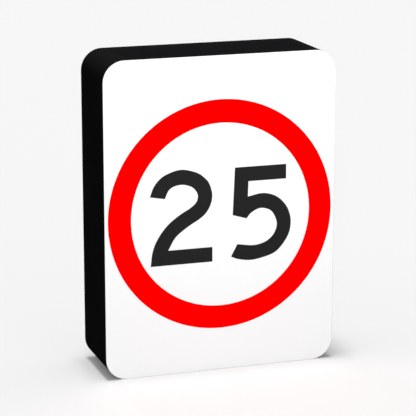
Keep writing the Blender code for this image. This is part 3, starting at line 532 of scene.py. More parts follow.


# The band's third colour, (0.0100, 0.0100, 0.0102), is painted light that makes the top of the band
# lighter.
COAT = band_coat_with_painted_top_light("black_powder_coat", (0.0031, 0.0031, 0.0031), (0.0039, 0.0039, 0.0040),
                      (0.0100, 0.0100, 0.0102))
REAR_COAT = coated("black_satin_coat", (0.005, 0.005, 0.0052), (0.0075, 0.0075, 0.0078), 0.45, 0.24)
WHITE_FACE = film("white_face_sheet", (0.88, 0.88, 0.88), 0.4, 0.05)
EDGE_BLACK = moulded("black_edge_seal", (0.004, 0.004, 0.004), 0.6, 0.1)
RED = film("red_face_film", (0.95, 0.0, 0.0), 0.5, 0.0)
BLACK_FILM = film("black_face_film", (0.0172, 0.0172, 0.0176), 0.5, 0.005)
WHITE_COAT = coated("white_coated_sheet", (0.78, 0.78, 0.77), (0.72, 0.72, 0.70), 0.45, 0.4)
ALUMINIUM = drawn_metal("mill_aluminium", (0.72, 0.73, 0.74), 0.38, (0.02, 1, 1))
ZINC = drawn_metal("zinc_plate", (0.66, 0.66, 0.63), 0.32, (1, 1, 0.2))
STRAP_RUBBER = moulded("black_strap_rubber", (0.02, 0.02, 0.02), 0.7, 0.3)
DISPLAY = moulded("display_glass", (0.012, 0.018, 0.014), 0.08, 0.5)
FOAM = moulded("black_foam_rubber", (0.018, 0.018, 0.018), 0.85, 0.2)
BLACK_PLASTIC = moulded("black_moulding", (0.016, 0.016, 0.017))
GREY_PLASTIC = moulded("grey_moulding", (0.2, 0.21, 0.23))
BLUE_PLASTIC = moulded("blue_moulding", (0.02, 0.09, 0.32))
RED_PLASTIC = moulded("red_moulding", (0.5, 0.012, 0.012), 0.3)
GREEN_PLASTIC = moulded("green_moulding", (0.012, 0.25, 0.08), 0.3)
BRASS = drawn_metal("tinned_brass", (0.72, 0.6, 0.35), 0.3, (1, 0.1, 1))
RED_SHEATH = moulded("red_cable_sheath", (0.42, 0.008, 0.008), 0.4)
BLACK_SHEATH = moulded("black_cable_sheath", (0.012, 0.012, 0.012), 0.4)


def grid_lines(look, cell_x, cell_y, line, offset=(0, 0)):
    """1 on the lines of an even grid across the length and depth, 0 between them."""
    sizes = {"Scale": 1, "Mortar Size": line, "Mortar Smooth": 0.1, "Brick Width": cell_x,
             "Row Height": cell_y}
    bricks = node(look, "ShaderNodeTexBrick", offset=0.0, squash=1.0, **sizes)
    link(look, coordinates(look, shift=(*offset, 0)), bricks.inputs["Vector"])
    return bricks.outputs["Fac"]


def solar_look():
    """Dark cells in rows under a clear front sheet, parted by thin gaps, with fine fingers."""
    look = new_look("solar_cells", (0.003, 0.003, 0.0034), 0.4, specular=0.0)
    pitch_x, pitch_y, gap, finger, fingers = 30.9 * MM, 34.85 * MM, 0.9 * MM, 0.35 * MM, 3
    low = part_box("solar_laminate")[0]
    start = (-low.x, -low.y)
    gaps = grid_lines(look, pitch_x, pitch_y, gap, start)
    wires = grid_lines(look, pitch_x / fingers, 4 * pitch_y, finger, start)
    grain = spread(look, noise(look, 35, detail=3), 0, 1, 0.3, 0.7)
    cells = blend_colours(look, grain, (0.0066, 0.0067, 0.0076), (0.0080, 0.0081, 0.0092))
    wired = layer(look, wires, cells, (0.019, 0.019, 0.0192))
    feed(look, layer(look, gaps, wired, (0.014, 0.014, 0.0142)), "Base Color")
    bump(look, gaps, -0.05 * MM, 0.3)
    return look


SOLAR = solar_look()

# The looks that each material slot lends its finish to, the slot's main look first
SLOTS = {
    "black_coat": (COAT, REAR_COAT), "white_face": (WHITE_FACE,), "red_film": (RED,),
    "black_film": (BLACK_FILM,), "white_coat": (WHITE_COAT,), "bare_aluminium": (ALUMINIUM,),
    "zinc_steel": (ZINC,), "brass": (BRASS,), "black_rubber": (FOAM, STRAP_RUBBER),
    "solar_glass": (SOLAR,), "grey_plastic": (GREY_PLASTIC,),
    "black_plastic": (BLACK_PLASTIC, DISPLAY), "blue_plastic": (BLUE_PLASTIC,),
    "red_plastic": (RED_PLASTIC,), "green_plastic": (GREEN_PLASTIC,),
    "red_cable": (RED_SHEATH,), "black_cable": (BLACK_SHEATH,),
}


# ---- front and band

def band_shell():
    """The band, open at both ends, with its ledge, flange, solar window and drain holes."""
    shell = slab("band_shell", LOW, HIGH, CORNER_R, steps=CORNER_STEPS)
    ease_rim(shell, HIGH.y, 0.6 * MM, 3)
    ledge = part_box("face_gasket")[1].y
    tray_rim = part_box("light_tray")[0].y
    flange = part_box("panel_gasket")[0].y
    flange_t, past = 3 * MM, 5 * MM

    def hollow(inset, low, high):
        return slab("hollow", (LOW.x + inset, low, LOW.z + inset),
                    (HIGH.x - inset, high, HIGH.z - inset), CORNER_R - inset, steps=CORNER_STEPS)

    carve(shell, hollow(WALL, LOW.y - past, ledge + FIT))
    carve(shell, hollow(LEDGE_IN, LOW.y - past, HIGH.y + past))
    carve(shell, hollow(WALL, tray_rim - FIT, flange - FIT - flange_t))
    carve(shell, hollow(WALL, flange - FIT, HIGH.y + past))
    low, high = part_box("solar_laminate")
    carve(shell, cube("window", (low.x - FIT, low.y - FIT, HIGH.z - 2 * WALL),
                      (high.x + FIT, high.y + FIT, HIGH.z + past)))
    drain_in, drain_r = 100 * MM, 2.5 * MM
    for x in (LOW.x + drain_in, HIGH.x - drain_in):
        carve(shell, prism("drain", (x, (low.y + high.y) / 2, 0), drain_r, 24, 2, -past, past))
    facing_out(shell)
    install(shell, COAT, "housing_band")


def face_sheet():
    """The white face, its edge sealed black."""
    low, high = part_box("face_panel")
    sheet = slab("face_sheet", low, high, CORNER_R, steps=CORNER_STEPS)
    ease_rim(sheet, low.y, 0.35 * MM, 3)
    sheet.data.materials.append(WHITE_FACE)
    sheet.data.materials.append(EDGE_BLACK)
    for side in sheet.data.polygons:
        side.material_index = 0 if side.normal.y < -0.98 else 1
    install(sheet, WHITE_FACE, "face_panel")


def plain_nodes():
    """CAD nodes whose shape stays, with the main material of their slot."""
    for part in frame["record"]["subparts"]:
        made = frame["nodes"][part["node"]]
        made.data.materials.clear()
        made.data.materials.append(SLOTS[part["material_slot"]][0])


# ---- rear

def rear_panel():
    """The flat rear sheet with its opening, and the screws that hold it to the flange."""
    lap, vent_hole_r, screw_in = 20 * MM, 6.3 * MM, 11.5 * MM
    panel = slab("rear_sheet", PANEL_LOW, PANEL_HIGH, CORNER_R - WALL, steps=CORNER_STEPS)
    front, back = PANEL_LOW.y - MM, PANEL_HIGH.y + MM
    low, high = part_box("rear_door")
    carve(panel, slab("opening", (low.x + lap, front, low.z + lap),
                      (high.x - lap, back, high.z - lap), 10 * MM, steps=8))
    carve(panel, prism("hole", node_middle("breather_vent"), vent_hole_r, 32, 1, front, back))
    round_edges(panel, 0.3 * MM)
    install(panel, REAR_COAT, "rear_panel")

    side, top = HIGH.x - screw_in, HIGH.z - screw_in
    places = [(sign * side, 0, z * MM) for sign in (-1, 1) for z in (70, 235, 400, 565, 730)]
    places += [(x * MM, 0, z) for z in (screw_in, top) for x in (-200, -67, 67, 200)]
    screws("rear_panel_screws", (0, PANEL_HIGH.y, 0), 3.6 * MM, 2 * MM, places)


def mount_rails():
    """Lipped channels with rounded bends, bolted through the rear sheet."""
    thick, lip, half_slot, bend = 2.5 * MM, 7 * MM, 11 * MM, 3.6 * MM
    for end in ("upper", "lower"):
        low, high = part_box(f"mount_rail_{end}")
        mid = (low.z + high.z) / 2
        rail = strip(f"rail_{end}", (low.x, low.y, low.z), (high.x, low.y, high.z))
        deep, turn_in = high.y - low.y, high.z - mid - half_slot
        for sign, edge in ((1, high.z), (-1, low.z)):
            draw_on(rail, (0, low.y, edge), [(0, deep, 0), (0, 0, -sign * turn_in), (0, -lip, 0)])
        fold_and_thicken(rail, bend, thick, -1)
        round_edges(rail, 0.3 * MM, 2, 60)
        install(rail, ALUMINIUM, f"mount_rail_{end}")
        one = bolt("pattern", (0, low.y + thick, mid), 6.5 * MM, 5.3 * MM, 1.6 * MM)
        places = [(x * MM, 0, 0) for x in (-230, -77, 77, 230)]
        install(repeat(one, f"rail_{end}_bolts", places), ZINC)


def breather_vent():
    """A cap with a notched grip and six pores, on a stub with its nut."""
    low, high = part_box("breather_vent")
    at = (low + high) / 2
    stub_r, cap_r, grip_at, grip_r = 6 * MM, 9 * MM, 9.5 * MM, 1.1 * MM
    pore_at, pore_r, pore_deep = 3 * MM, 0.6 * MM, 2.5 * MM
    out = PANEL_HIGH.y + FIT
    vent = turned("vent_cap", at, 1, [
        (stub_r, low.y), (stub_r, out), (cap_r, out), (cap_r, high.y - 1.6 * MM),
        (8.5 * MM, high.y - 0.6 * MM), (7.6 * MM, high.y), (5 * MM, high.y),
        (4.4 * MM, high.y - 0.8 * MM), (2 * MM, high.y - 0.8 * MM),
    ], steps=64)
    notch = prism("notch", (at.x, at.y, at.z + grip_at), grip_r, 16, 1, out + 1.2 * MM,
                  high.y + MM)
    carve(vent, ring_of(notch, "notches", at, 1, 16))
    pore = prism("pore", (at.x, at.y, at.z + pore_at), pore_r, 12, 1, high.y - pore_deep,
                 high.y + MM)
    carve(vent, ring_of(pore, "pores", at, 1, 6))
    facing_out(vent)
    install(vent, BLACK_PLASTIC, "breather_vent")
    refined("vent_hex_nut", "vent_nut", BLACK_PLASTIC, 0.5 * MM)


def rear_door():
    """A folded pan: a flat skin with rounded folds, a hole for each lock, and its foam seal."""
    low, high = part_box("rear_door")
    bend, thick, lock_hole_r = 2.2 * MM, 2 * MM, 8.3 * MM
    door = slab("door_pan", low, high, 8 * MM, steps=8)
    ease_rim(door, high.y, bend, 5)
    pick(door, lambda f: f.normal.y < -0.9)
    bpy.ops.mesh.delete(type="FACE")
    leave_edit()
    modify(door, "SOLIDIFY", thickness=thick, offset=-1, use_even_offset=True)
    for name in LOCKS:
        carve(door, prism("hole", node_middle(f"{name}_rotor"), lock_hole_r, 40, 1,
                          high.y - 9 * MM, high.y + 5 * MM))
    round_edges(door, 0.25 * MM, 2, 60)
    install(door, REAR_COAT, "rear_door", body="door")
    refined("door_seal", "door_gasket", FOAM, 1.5 * MM, 4, body="door")


def hinges():
    """Three-knuckle hinges: leaves with rounded corners, a headed pin, and their screws."""
    pin_at = node_middle("hinge_upper_pin")
    drop = node_middle("hinge_lower_pin") - pin_at
    third, leaf_t, knuckle_r, bore_r = 20 * MM, 1.5 * MM, 4.5 * MM, 2.1 * MM
    post_half, arm_long, corner, hole_in = 2.7 * MM, 5 * MM, 4 * MM, 11 * MM
    low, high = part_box("hinge_upper_frame_leaf")

    def knuckle(start, stop):
        return prism("knuckle", pin_at, knuckle_r, 40, 2, start, stop)

    def bore_out(leaf):
        carve(leaf, prism("bore", pin_at, bore_r, 32, 2, low.z - MM, high.z + MM))
        facing_out(leaf, merge_flats=True)
        round_edges(leaf, 0.25 * MM, 2, 50)

    foot = slab("frame_leaf", low, (high.x, low.y + leaf_t, high.z), corner)
    for start, stop in ((low.z, low.z + third - FIT), (high.z - third + FIT, high.z)):
        weld_on(foot, cube("post", (pin_at.x - post_half, low.y + 0.5 * leaf_t, start + FIT),
                           (pin_at.x + post_half, pin_at.y, stop - FIT)), knuckle(start, stop))
    bore_out(foot)

    door_low, door_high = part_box("hinge_upper_door_leaf")
    leaf_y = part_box("rear_door")[1].y + FIT
    plate_x = pin_at.x - knuckle_r - MM
    plate = slab("door_leaf", (door_low.x, leaf_y, door_low.z),
                 (plate_x, leaf_y + leaf_t, door_high.z), corner)
    start, stop = low.z + third, high.z - third
    weld_on(plate, cube("arm", (plate_x - arm_long, leaf_y, start),
                        (pin_at.x, leaf_y + leaf_t, stop)), knuckle(start, stop))
    bore_out(plate)

    pin_low, pin_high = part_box("hinge_upper_pin")
    pin_r, head_r, head_low = 2 * MM, 3.5 * MM, high.z + FIT
    pin = turned("pin", pin_at, 2, [
        (1.5 * MM, pin_low.z), (pin_r, pin_low.z + 0.6 * MM), (pin_r, head_low),
        (head_r, head_low), (head_r, head_low + 0.6 * MM), (2.6 * MM, pin_high.z),
    ], steps=32)

    def row(x, y):
        places = [(x, y, pin_at.z + z * MM) for z in (-21, 0, 21)]
        return repeat(screw("pattern", (0, 0, 0), 2.6 * MM, 0.8 * MM), "screws", places)

    frame_row = row(high.x - hole_in, low.y + leaf_t)
    door_row = row(door_low.x + hole_in, leaf_y + leaf_t)
    for side, shift in (("upper", Vector((0, 0, 0))), ("lower", drop)):
        for piece, end, body in ((foot, "frame_leaf", "housing"), (plate, "door_leaf", "door"),
                                 (pin, "pin", "housing")):
            made = copy_to(piece, f"{side}_hinge_{end}", shift)
            install(made, ZINC, f"hinge_{side}_{end}", body=body)
        for piece, end, body in ((frame_row, "frame", "housing"), (door_row, "door", "door")):
            install(copy_to(piece, f"{side}_hinge_{end}_screws", shift), ZINC, body=body)
    for pattern in (foot, plate, pin, frame_row, door_row):
        bpy.data.objects.remove(pattern)


def locks():
    """Quarter-turn locks: a round flange and barrel, a slotted insert, a nut and a cam."""
    barrel_r, bore_r, flange_r, flange_t = 8 * MM, 6.3 * MM, 11 * MM, 2.5 * MM
    stub_r, insert_r, slot_half, slot_long = 4 * MM, 6 * MM, 1.25 * MM, 4 * MM
    slot_deep, post_r, post_deep = 4 * MM, 2.2 * MM, 4.4 * MM
    for name in LOCKS:
        at = node_middle(f"{name}_rotor")
        low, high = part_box(f"{name}_body")
        flange = high.y - flange_t
        barrel = turned(f"{name}_barrel", at, 1, [
            (barrel_r, low.y), (barrel_r, flange), (flange_r, flange),
            (flange_r, high.y - 0.9 * MM), (10.7 * MM, high.y - 0.3 * MM), (10.1 * MM, high.y),
            (7.4 * MM, high.y), (7 * MM, high.y - 0.4 * MM),
        ], steps=56)
        carve(barrel, prism("bore", at, bore_r, 48, 1, low.y - MM, high.y + MM))
        install(barrel, ZINC, f"{name}_body", body="door")

        low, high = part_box(f"{name}_rotor")
        cam_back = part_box(f"{name}_cam")[1].y + FIT
        insert = turned(f"{name}_insert", at, 1, [
            (stub_r, low.y), (stub_r, cam_back), (insert_r, cam_back),
            (insert_r, high.y - 0.4 * MM), (5.6 * MM, high.y),
        ], steps=48)
        carve(insert, slab("key_slot", (at.x - slot_half, high.y - slot_deep, at.z - slot_long),
                           (at.x + slot_half, high.y + MM, at.z + slot_long), 0.6 * MM, steps=3),
              prism("key_post", at, post_r, 24, 1, high.y - post_deep, high.y + MM))
        install(insert, ZINC, f"{name}_rotor", body=name)
        refined(f"{name}_hex_nut", f"{name}_nut", ZINC, 0.5 * MM, body="door")
        refined(f"{name}_latch", f"{name}_cam", ZINC, 0.4 * MM, body=name)
        tip = prism(f"{name}_cam_bolt", at, 3.4 * MM, 6, 1, low.y - 0.1 * MM, low.y + 2.2 * MM)
        round_edges(tip, 0.3 * MM)
        install(tip, ZINC, body=name)


# ---- solar module and light box

def solar_module():
    """The cells in their frame under the top, and the junction box with its lid."""
    low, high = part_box("solar_laminate")
    glass = slab("solar_glass", low, high, 1 * MM, axis=2, steps=3)
    round_edges(glass, 0.25 * MM, 2, 60)
    install(glass, SOLAR, "solar_laminate")
    refined("solar_frame", "solar_carrier", ALUMINIUM, 0.3 * MM)
    low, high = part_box("solar_junction_box")
    lid_t, groove, corner, inset = 3 * MM, 0.5 * MM, 4 * MM, Vector((MM, MM, MM))
    case = slab("junction_case", (low.x, low.y, low.z + lid_t + groove), high, corner, axis=2)
    lid = slab("lid", low, (high.x, high.y, low.z + lid_t), corner, axis=2)
    waist = slab("waist", low + inset, high - inset, corner - MM, axis=2)
    round_edges(lid, 0.7 * MM, 3)
    weld_on(case, waist, lid)
    install(case, BLACK_PLASTIC, "solar_junction_box")


def sealing_strips():
    """Foam strips with pressed, rounded edges."""
    for name in ("face_gasket", "panel_gasket"):
        refined(f"{name}_foam", name, FOAM, 0.4 * MM, 3)


def light_box():
    """The white pan behind the face, with its light bars and their lenses."""
    refined("light_pan", "light_tray", WHITE_COAT, 0.6 * MM, 3)
    board_t, corner, lens_half, lens_r = 2 * MM, 2 * MM, 4.4 * MM, 2.6 * MM
    for n in range(1, 7):
        low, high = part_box(f"led_bar_{n}")
        bar = slab(f"light_bar_{n}", (low.x, high.y - board_t, low.z), high, corner, steps=4)
        mid = (low.x + high.x) / 2
        lens = slab("lens", (mid - lens_half, low.y, low.z + corner),
                    (mid + lens_half, high.y - MM, high.z - corner), corner, steps=4)
        ease(lens, lambda e: along(e, 2) and e.verts[0].co.y < low.y + MM, lens_r, 5)
        weld_on(bar, lens)
        install(bar, WHITE_COAT, f"led_bar_{n}")


# ---- equipment

def equipment_plate():
    """The plate that carries the equipment, and its screws."""
    low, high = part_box("equipment_plate")
    plate = slab("mounting_plate", low, high, 8 * MM)
    round_edges(plate, 0.3 * MM)
    install(plate, ALUMINIUM, "equipment_plate")
    top_row, foot_row = 596 * MM, 220 * MM
    places = [(x * MM, 0, top_row) for x in (-168, 0, 168)]
    places += [(x * MM, 0, foot_row) for x in (30, 190, -190)]
    screws("mounting_plate_screws", (0, high.y, 0), 4 * MM, 2.2 * MM, places)


def battery():
    """A sealed block: a case and a lid with a line between, recessed panels and bolted posts."""
    refined("battery_tray", "battery_shelf", ZINC, 0.4 * MM)
    low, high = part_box("battery_case")
    corner, edge, recess, past = 5 * MM, 1.2 * MM, 0.8 * MM, 5 * MM
    above_strap, below_strap = (344 * MM, 374 * MM), (low.z + 12 * MM, 300 * MM)
    half_long, half_wide, valve_deep = 52 * MM, 9 * MM, 1.2 * MM
    lid_low = high.z - 24 * MM
    case = slab("battery_block", low, (high.x, high.y, lid_low - MM), corner, axis=2)
    round_edges(case, edge, 3, 60)
    neck = slab("neck", (low.x + edge, low.y + edge, lid_low - 4 * MM),
                (high.x - edge, high.y - edge, lid_low + 4 * MM), 4 * MM, axis=2)
    lid = slab("lid", (low.x, low.y, lid_low), high, corner, axis=2)
    round_edges(lid, edge, 3, 60)
    weld_on(case, neck, lid)

    def panel(start, stop, margin=16 * MM):
        return slab("panel", (low.x + margin, high.y - recess, start),
                    (high.x - margin, high.y + past, stop), 3 * MM, steps=5)

    mid = (low + high) / 2
    valves = slab("valves", (mid.x - half_long, mid.y - half_wide, high.z - valve_deep),
                  (mid.x + half_long, mid.y + half_wide, high.z + past), 3 * MM, axis=2, steps=5)
    carve(case, panel(*above_strap), panel(*below_strap), valves)
    install(case, BLUE_PLASTIC, "battery_case")
    cap = turned("pattern", (0, mid.y, 0), 2, [
        (5.5 * MM, high.z - 1.5 * MM), (5.5 * MM, high.z - 0.5 * MM), (4.8 * MM, high.z),
        (1.5 * MM, high.z), (1.2 * MM, high.z - 0.5 * MM),
    ], steps=28)
    places = [(mid.x + step * MM, 0, 0) for step in (-42, -25, -8, 9, 26, 43)]
    install(repeat(cap, "battery_valve_caps", places), BLACK_PLASTIC)
    for pole in ("minus", "plus"):
        low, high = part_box(f"battery_terminal_{pole}")
        at = (low + high) / 2
        post = slab(f"battery_post_{pole}", low, high, 1.2 * MM, axis=2, steps=3)
        weld_on(post, prism("nut", at, 3.6 * MM, 6, 1, high.y - MM, high.y + 2.4 * MM))
        round_edges(post, 0.35 * MM)
        install(post, BRASS, f"battery_terminal_{pole}")


def battery_strap():
    """A rubber strap with its buckle, held down by a screw in each foot."""
    low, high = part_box("battery_strap")
    thick, foot, bend, hole_in = 1.5 * MM, 14 * MM, 2.2 * MM, 7.5 * MM
    left, right = low.x + foot, high.x - foot
    skin = low.y + thick
    mid, rise = (low.z + high.z) / 2, high.y - skin
    strap = strip("strap", (low.x, skin, low.z), (left, skin, high.z))
    draw_on(strap, (left, skin, mid), [
        (0, rise, 0), (right - left, 0, 0), (0, -rise, 0), (high.x - right, 0, 0)])
    fold_and_thicken(strap, bend, thick, 1)
    round_edges(strap, 0.3 * MM, 2, 60)
    install(strap, STRAP_RUBBER, "battery_strap")

    at = (low.x + high.x) / 2 + 35 * MM
    half, rim, bar, way_half = 17 * MM, 3 * MM, 8.5 * MM, 5 * MM
    buckle = slab("strap_buckle", (at - half, high.y + 0.1 * MM, low.z - rim),
                  (at + half, high.y + 3.6 * MM, high.z + rim), 2.5 * MM, steps=5)
    for x in (at - bar, at + bar):
        carve(buckle, slab("slot", (x - way_half, high.y - MM, low.z + 0.5 * MM),
                           (x + way_half, high.y + 9 * MM, high.z - 0.5 * MM), 1 * MM, steps=3))
    round_edges(buckle, 0.6 * MM, 3)
    install(buckle, BLACK_PLASTIC)
    places = [(x, 0, 0) for x in (low.x + hole_in, high.x - hole_in)]
    screws("strap_screws", (0, skin, mid), 3.4 * MM, 1.8 * MM, places)


def controller():
    """The charge controller: a finned body with a display, three lamps and a clamp row."""
    low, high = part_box("charge_controller")
    fins, fin_pitch, clamps, clamp_pitch = 20, 6.2 * MM, 6, 15 * MM
    case = slab("controller_case", (low.x, low.y + 9 * MM, low.z), high, 5 * MM)
    ease_rim(case, high.y, 2.5 * MM, 5)
    base = cube("base", (low.x, low.y, low.z + 4 * MM), (high.x, low.y + 10 * MM, high.z - 4 * MM))
    gap = cube("gap", (low.x + 4 * MM, low.y + 2 * MM, low.z),
               (low.x + 7 * MM, low.y + 8.6 * MM, high.z))
    carve(base, repeat(gap, "gaps", [(n * fin_pitch, 0, 0) for n in range(fins)]))
    weld_on(case, base)

    face, mid_x = high.y, (low.x + high.x) / 2
    window_low = Vector((mid_x - 34 * MM, face - MM, high.z - 40 * MM))
    window_high = Vector((mid_x + 16 * MM, face + 5 * MM, high.z - 14 * MM))
    carve(case, slab("window", window_low, window_high, 2.5 * MM, steps=5))
    clamp_z, way_half = low.z + 8 * MM, 5 * MM
    clamp_x = [mid_x + (n - (clamps - 1) / 2) * clamp_pitch for n in range(clamps)]
    for x in clamp_x:
        carve(case, slab("way", (x - way_half, face - 5 * MM, clamp_z - 4 * MM),
                         (x + way_half, face + 5 * MM, clamp_z + 5 * MM), 1 * MM, steps=3))
    install(case, GREY_PLASTIC, "charge_controller")

    glass = slab("controller_display",
                 (window_low.x + FIT, face - 1.2 * MM, window_low.z + FIT),
                 (window_high.x - FIT, face - 0.4 * MM, window_high.z - FIT), 2.2 * MM, steps=5)
    round_edges(glass, 0.15 * MM, 1)
    install(glass, DISPLAY)
    screws("controller_clamps", (0, face - 2.4 * MM, clamp_z), 3.6 * MM, 1.4 * MM,
           [(x, 0, 0) for x in clamp_x])
    lamp = turned("pattern", (mid_x + 30 * MM, 0, 0), 1, [
        (1.9 * MM, face - 0.5 * MM), (1.9 * MM, face + 0.5 * MM), (1.5 * MM, face + 1.1 * MM),
        (0.7 * MM, face + 1.5 * MM)], steps=24)
    places = [(0, 0, high.z - z * MM) for z in (17, 27, 37)]
    install(repeat(lamp, "controller_lamps", places), GREEN_PLASTIC)
    key = turned("pattern", (mid_x + 46 * MM, 0, 0), 1, [
        (4.6 * MM, face - 0.5 * MM), (4.6 * MM, face + 0.9 * MM), (4 * MM, face + 1.5 * MM),
        (3 * MM, face + 1.5 * MM), (2 * MM, face + 1.2 * MM)], steps=32)
    places = [(0, 0, high.z - z * MM) for z in (20, 34)]
    install(repeat(key, "controller_keys", places), BLACK_PLASTIC)
    unit_ears("controller", low, high, 2 * MM)


def unit_ears(name, low, high, thick):
    """Two fixing ears on a unit's sides, with their screws."""
    out, under, hole = 9 * MM, 4 * MM, 4.5 * MM
    above, tall = 8 * MM, 14 * MM
    foot = (low.z + high.z) / 2 + above
    ears = []
    for start, stop, hole_x in ((low.x - out, low.x + under, low.x - hole),
                                (high.x - under, high.x + out, high.x + hole)):
        ear = slab("ear", (start, low.y, foot), (stop, low.y + thick, foot + tall), 3.5 * MM,
                   steps=5)
        round_edges(ear, 0.25 * MM)
        ears.append(ear)
        at = (hole_x, low.y + thick, foot + tall / 2)
        ears.append(screw("screw", at, 3 * MM, 1.7 * MM))
    install(gather(ears, f"{name}_ears"), ZINC)


def driver():
    """The light driver: a folded white case with black end caps and a cable gland."""
    low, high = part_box("led_driver")
    cap_long, sunk = 10 * MM, 0.6 * MM
    case = slab("driver_case", (low.x + cap_long - MM, low.y, low.z + sunk),
                (high.x - cap_long + MM, high.y - sunk, high.z - sunk))
    ease(case, lambda e: along(e, 0) and e.verts[0].co.y > high.y - 2 * MM, 3 * MM, 6)
    groove = cube("groove", (low.x, high.y - 1.4 * MM, low.z + 9 * MM),
                  (high.x, high.y + MM, low.z + 10.4 * MM))
    carve(case, repeat(groove, "grooves", [(0, 0, n * 6 * MM) for n in range(7)]))
    install(case, WHITE_COAT, "led_driver")
    ends = []
    for start, stop in ((low.x, low.x + cap_long), (high.x - cap_long, high.x)):
        end = slab("end", (start, low.y, low.z), (stop, high.y, high.z))
        ease(end, lambda e: along(e, 0) and e.verts[0].co.y > high.y - MM, 3.6 * MM, 6)
        round_edges(end, 0.8 * MM, 3, 60)
        ends.append(end)
    at = (0, low.y + 14.3 * MM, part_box("led_feed_cable")[0].z + 3.5 * MM)
    body_r, neck_r = 5.6 * MM, 4.6 * MM
    ends.append(turned("gland", at, 0, [
        (body_r, high.x - MM), (body_r, high.x + 3.5 * MM), (neck_r, high.x + 4 * MM),
        (neck_r, high.x + 6 * MM), (3.2 * MM, high.x + 9 * MM)], steps=32))
    install(gather(ends, "driver_ends"), BLACK_PLASTIC)
    unit_ears("driver", low, high, 1.5 * MM)


def terminal_row():
    """A row of screw terminals between fences."""
    low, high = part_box("terminal_block")
    ways, pitch, fence, seat_y = 6, 12 * MM, 0.75 * MM, low.y + 12 * MM
    block = cube("terminal_base", low, (high.x, seat_y, high.z))

    def wall(start, stop):
        return cube("wall", (start, low.y + MM, low.z), (stop, high.y, high.z))

    walls = [wall(low.x + n * pitch - fence, low.x + n * pitch + fence) for n in range(1, ways)]
    walls += [wall(start, start + fence) for start in (low.x, high.x - fence)]
    weld_on(block, *walls)
    facing_out(block, merge_flats=True)
    round_edges(block, 0.3 * MM, 2, 60)
    install(block, BLACK_PLASTIC, "terminal_block")

    side, end, seat_t, screw_in = 1.6 * MM, 1.5 * MM, 0.8 * MM, 6 * MM
    way = [slab("seat", (low.x + side, seat_y - 0.3 * MM, low.z + end),
                (low.x + pitch - side, seat_y + seat_t, high.z - end), 0.8 * MM, steps=3)]
    for z in (low.z + screw_in, high.z - screw_in):
        way.append(screw("screw", (low.x + pitch / 2, seat_y + seat_t, z), 3.2 * MM, 2 * MM))
    places = [(n * pitch, 0, 0) for n in range(ways)]
    install(repeat(gather(way, "pattern"), "terminal_screws", places), ZINC)


def switch_panel():
    """The folded bracket that holds the rocker, the test button and the fuse."""
    low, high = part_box("switch_bracket")
    thick, foot, bend, screw_in = 2 * MM, 18 * MM, 3 * MM, 20 * MM
    mid = (low.z + high.z) / 2
    bracket = strip("bracket", (low.x, low.y, low.z), (low.x, high.y, high.z))
    draw_on(bracket, (low.x, low.y, mid), [(foot, 0, 0)])
    draw_on(bracket, (low.x, high.y, mid), [(high.x - low.x, 0, 0)])
    fold_and_thicken(bracket, bend, thick, -1)
    front, back, rim = high.y - 4 * MM, high.y + 2 * MM, 1.1 * MM
    body_low, body_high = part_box("rocker_body")
    carve(bracket, slab("hole", (body_low.x + rim, front, body_low.z + rim),
                        (body_high.x - rim, back, body_high.z - rim), MM, steps=3))
    for name, radius in (("test_button_bush", 8.3 * MM), ("fuse_holder", 7.3 * MM)):
        carve(bracket, prism("hole", node_middle(name), radius, 40, 1, front, back))
    round_edges(bracket, 0.3 * MM, 2, 60)
    install(bracket, ALUMINIUM, "switch_bracket")
    screws("bracket_screws", (low.x + 12 * MM, low.y + thick, 0), 3.2 * MM, 1.8 * MM,
           [(0, 0, low.z + screw_in), (0, 0, high.z - screw_in)])
    refined("rocker_frame", "rocker_body", BLACK_PLASTIC, 0.3 * MM)
    refined("rocker_cap", "rocker", RED_PLASTIC, 0.6 * MM, 3, body="rocker_switch")


def test_button():
    """A domed button in a metal bush, on its coil spring."""
    at = node_middle("test_button_bush")
    low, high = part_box("test_button_bush")
    thread_r, flange_r, bore_r = 8 * MM, 9.5 * MM, 6.3 * MM
    bush = turned("button_bush", at, 1, [
        (thread_r, low.y), (thread_r, high.y - 2.5 * MM), (flange_r, high.y - 2.5 * MM),
        (flange_r, high.y - 0.8 * MM), (9.2 * MM, high.y - 0.3 * MM), (8.6 * MM, high.y),
        (6.9 * MM, high.y), (bore_r, high.y - 0.6 * MM), (bore_r, low.y + 3 * MM),
    ], steps=56)
    install(bush, ALUMINIUM, "test_button_bush")
    low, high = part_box("test_button")
    button_r = 6 * MM
    button = turned("button_cap", at, 1, [
        (button_r, low.y), (button_r, high.y - 1.2 * MM), (5.7 * MM, high.y - 0.5 * MM),
        (5 * MM, high.y), (3.6 * MM, high.y - 0.1 * MM), (2 * MM, high.y - 0.5 * MM),
    ], steps=48)
    install(button, GREEN_PLASTIC, "test_button", body="push_button")
    spring = refined("coil_spring", "button_spring", ZINC, smooth=70)
    low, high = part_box("button_spring")
    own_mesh(spring)


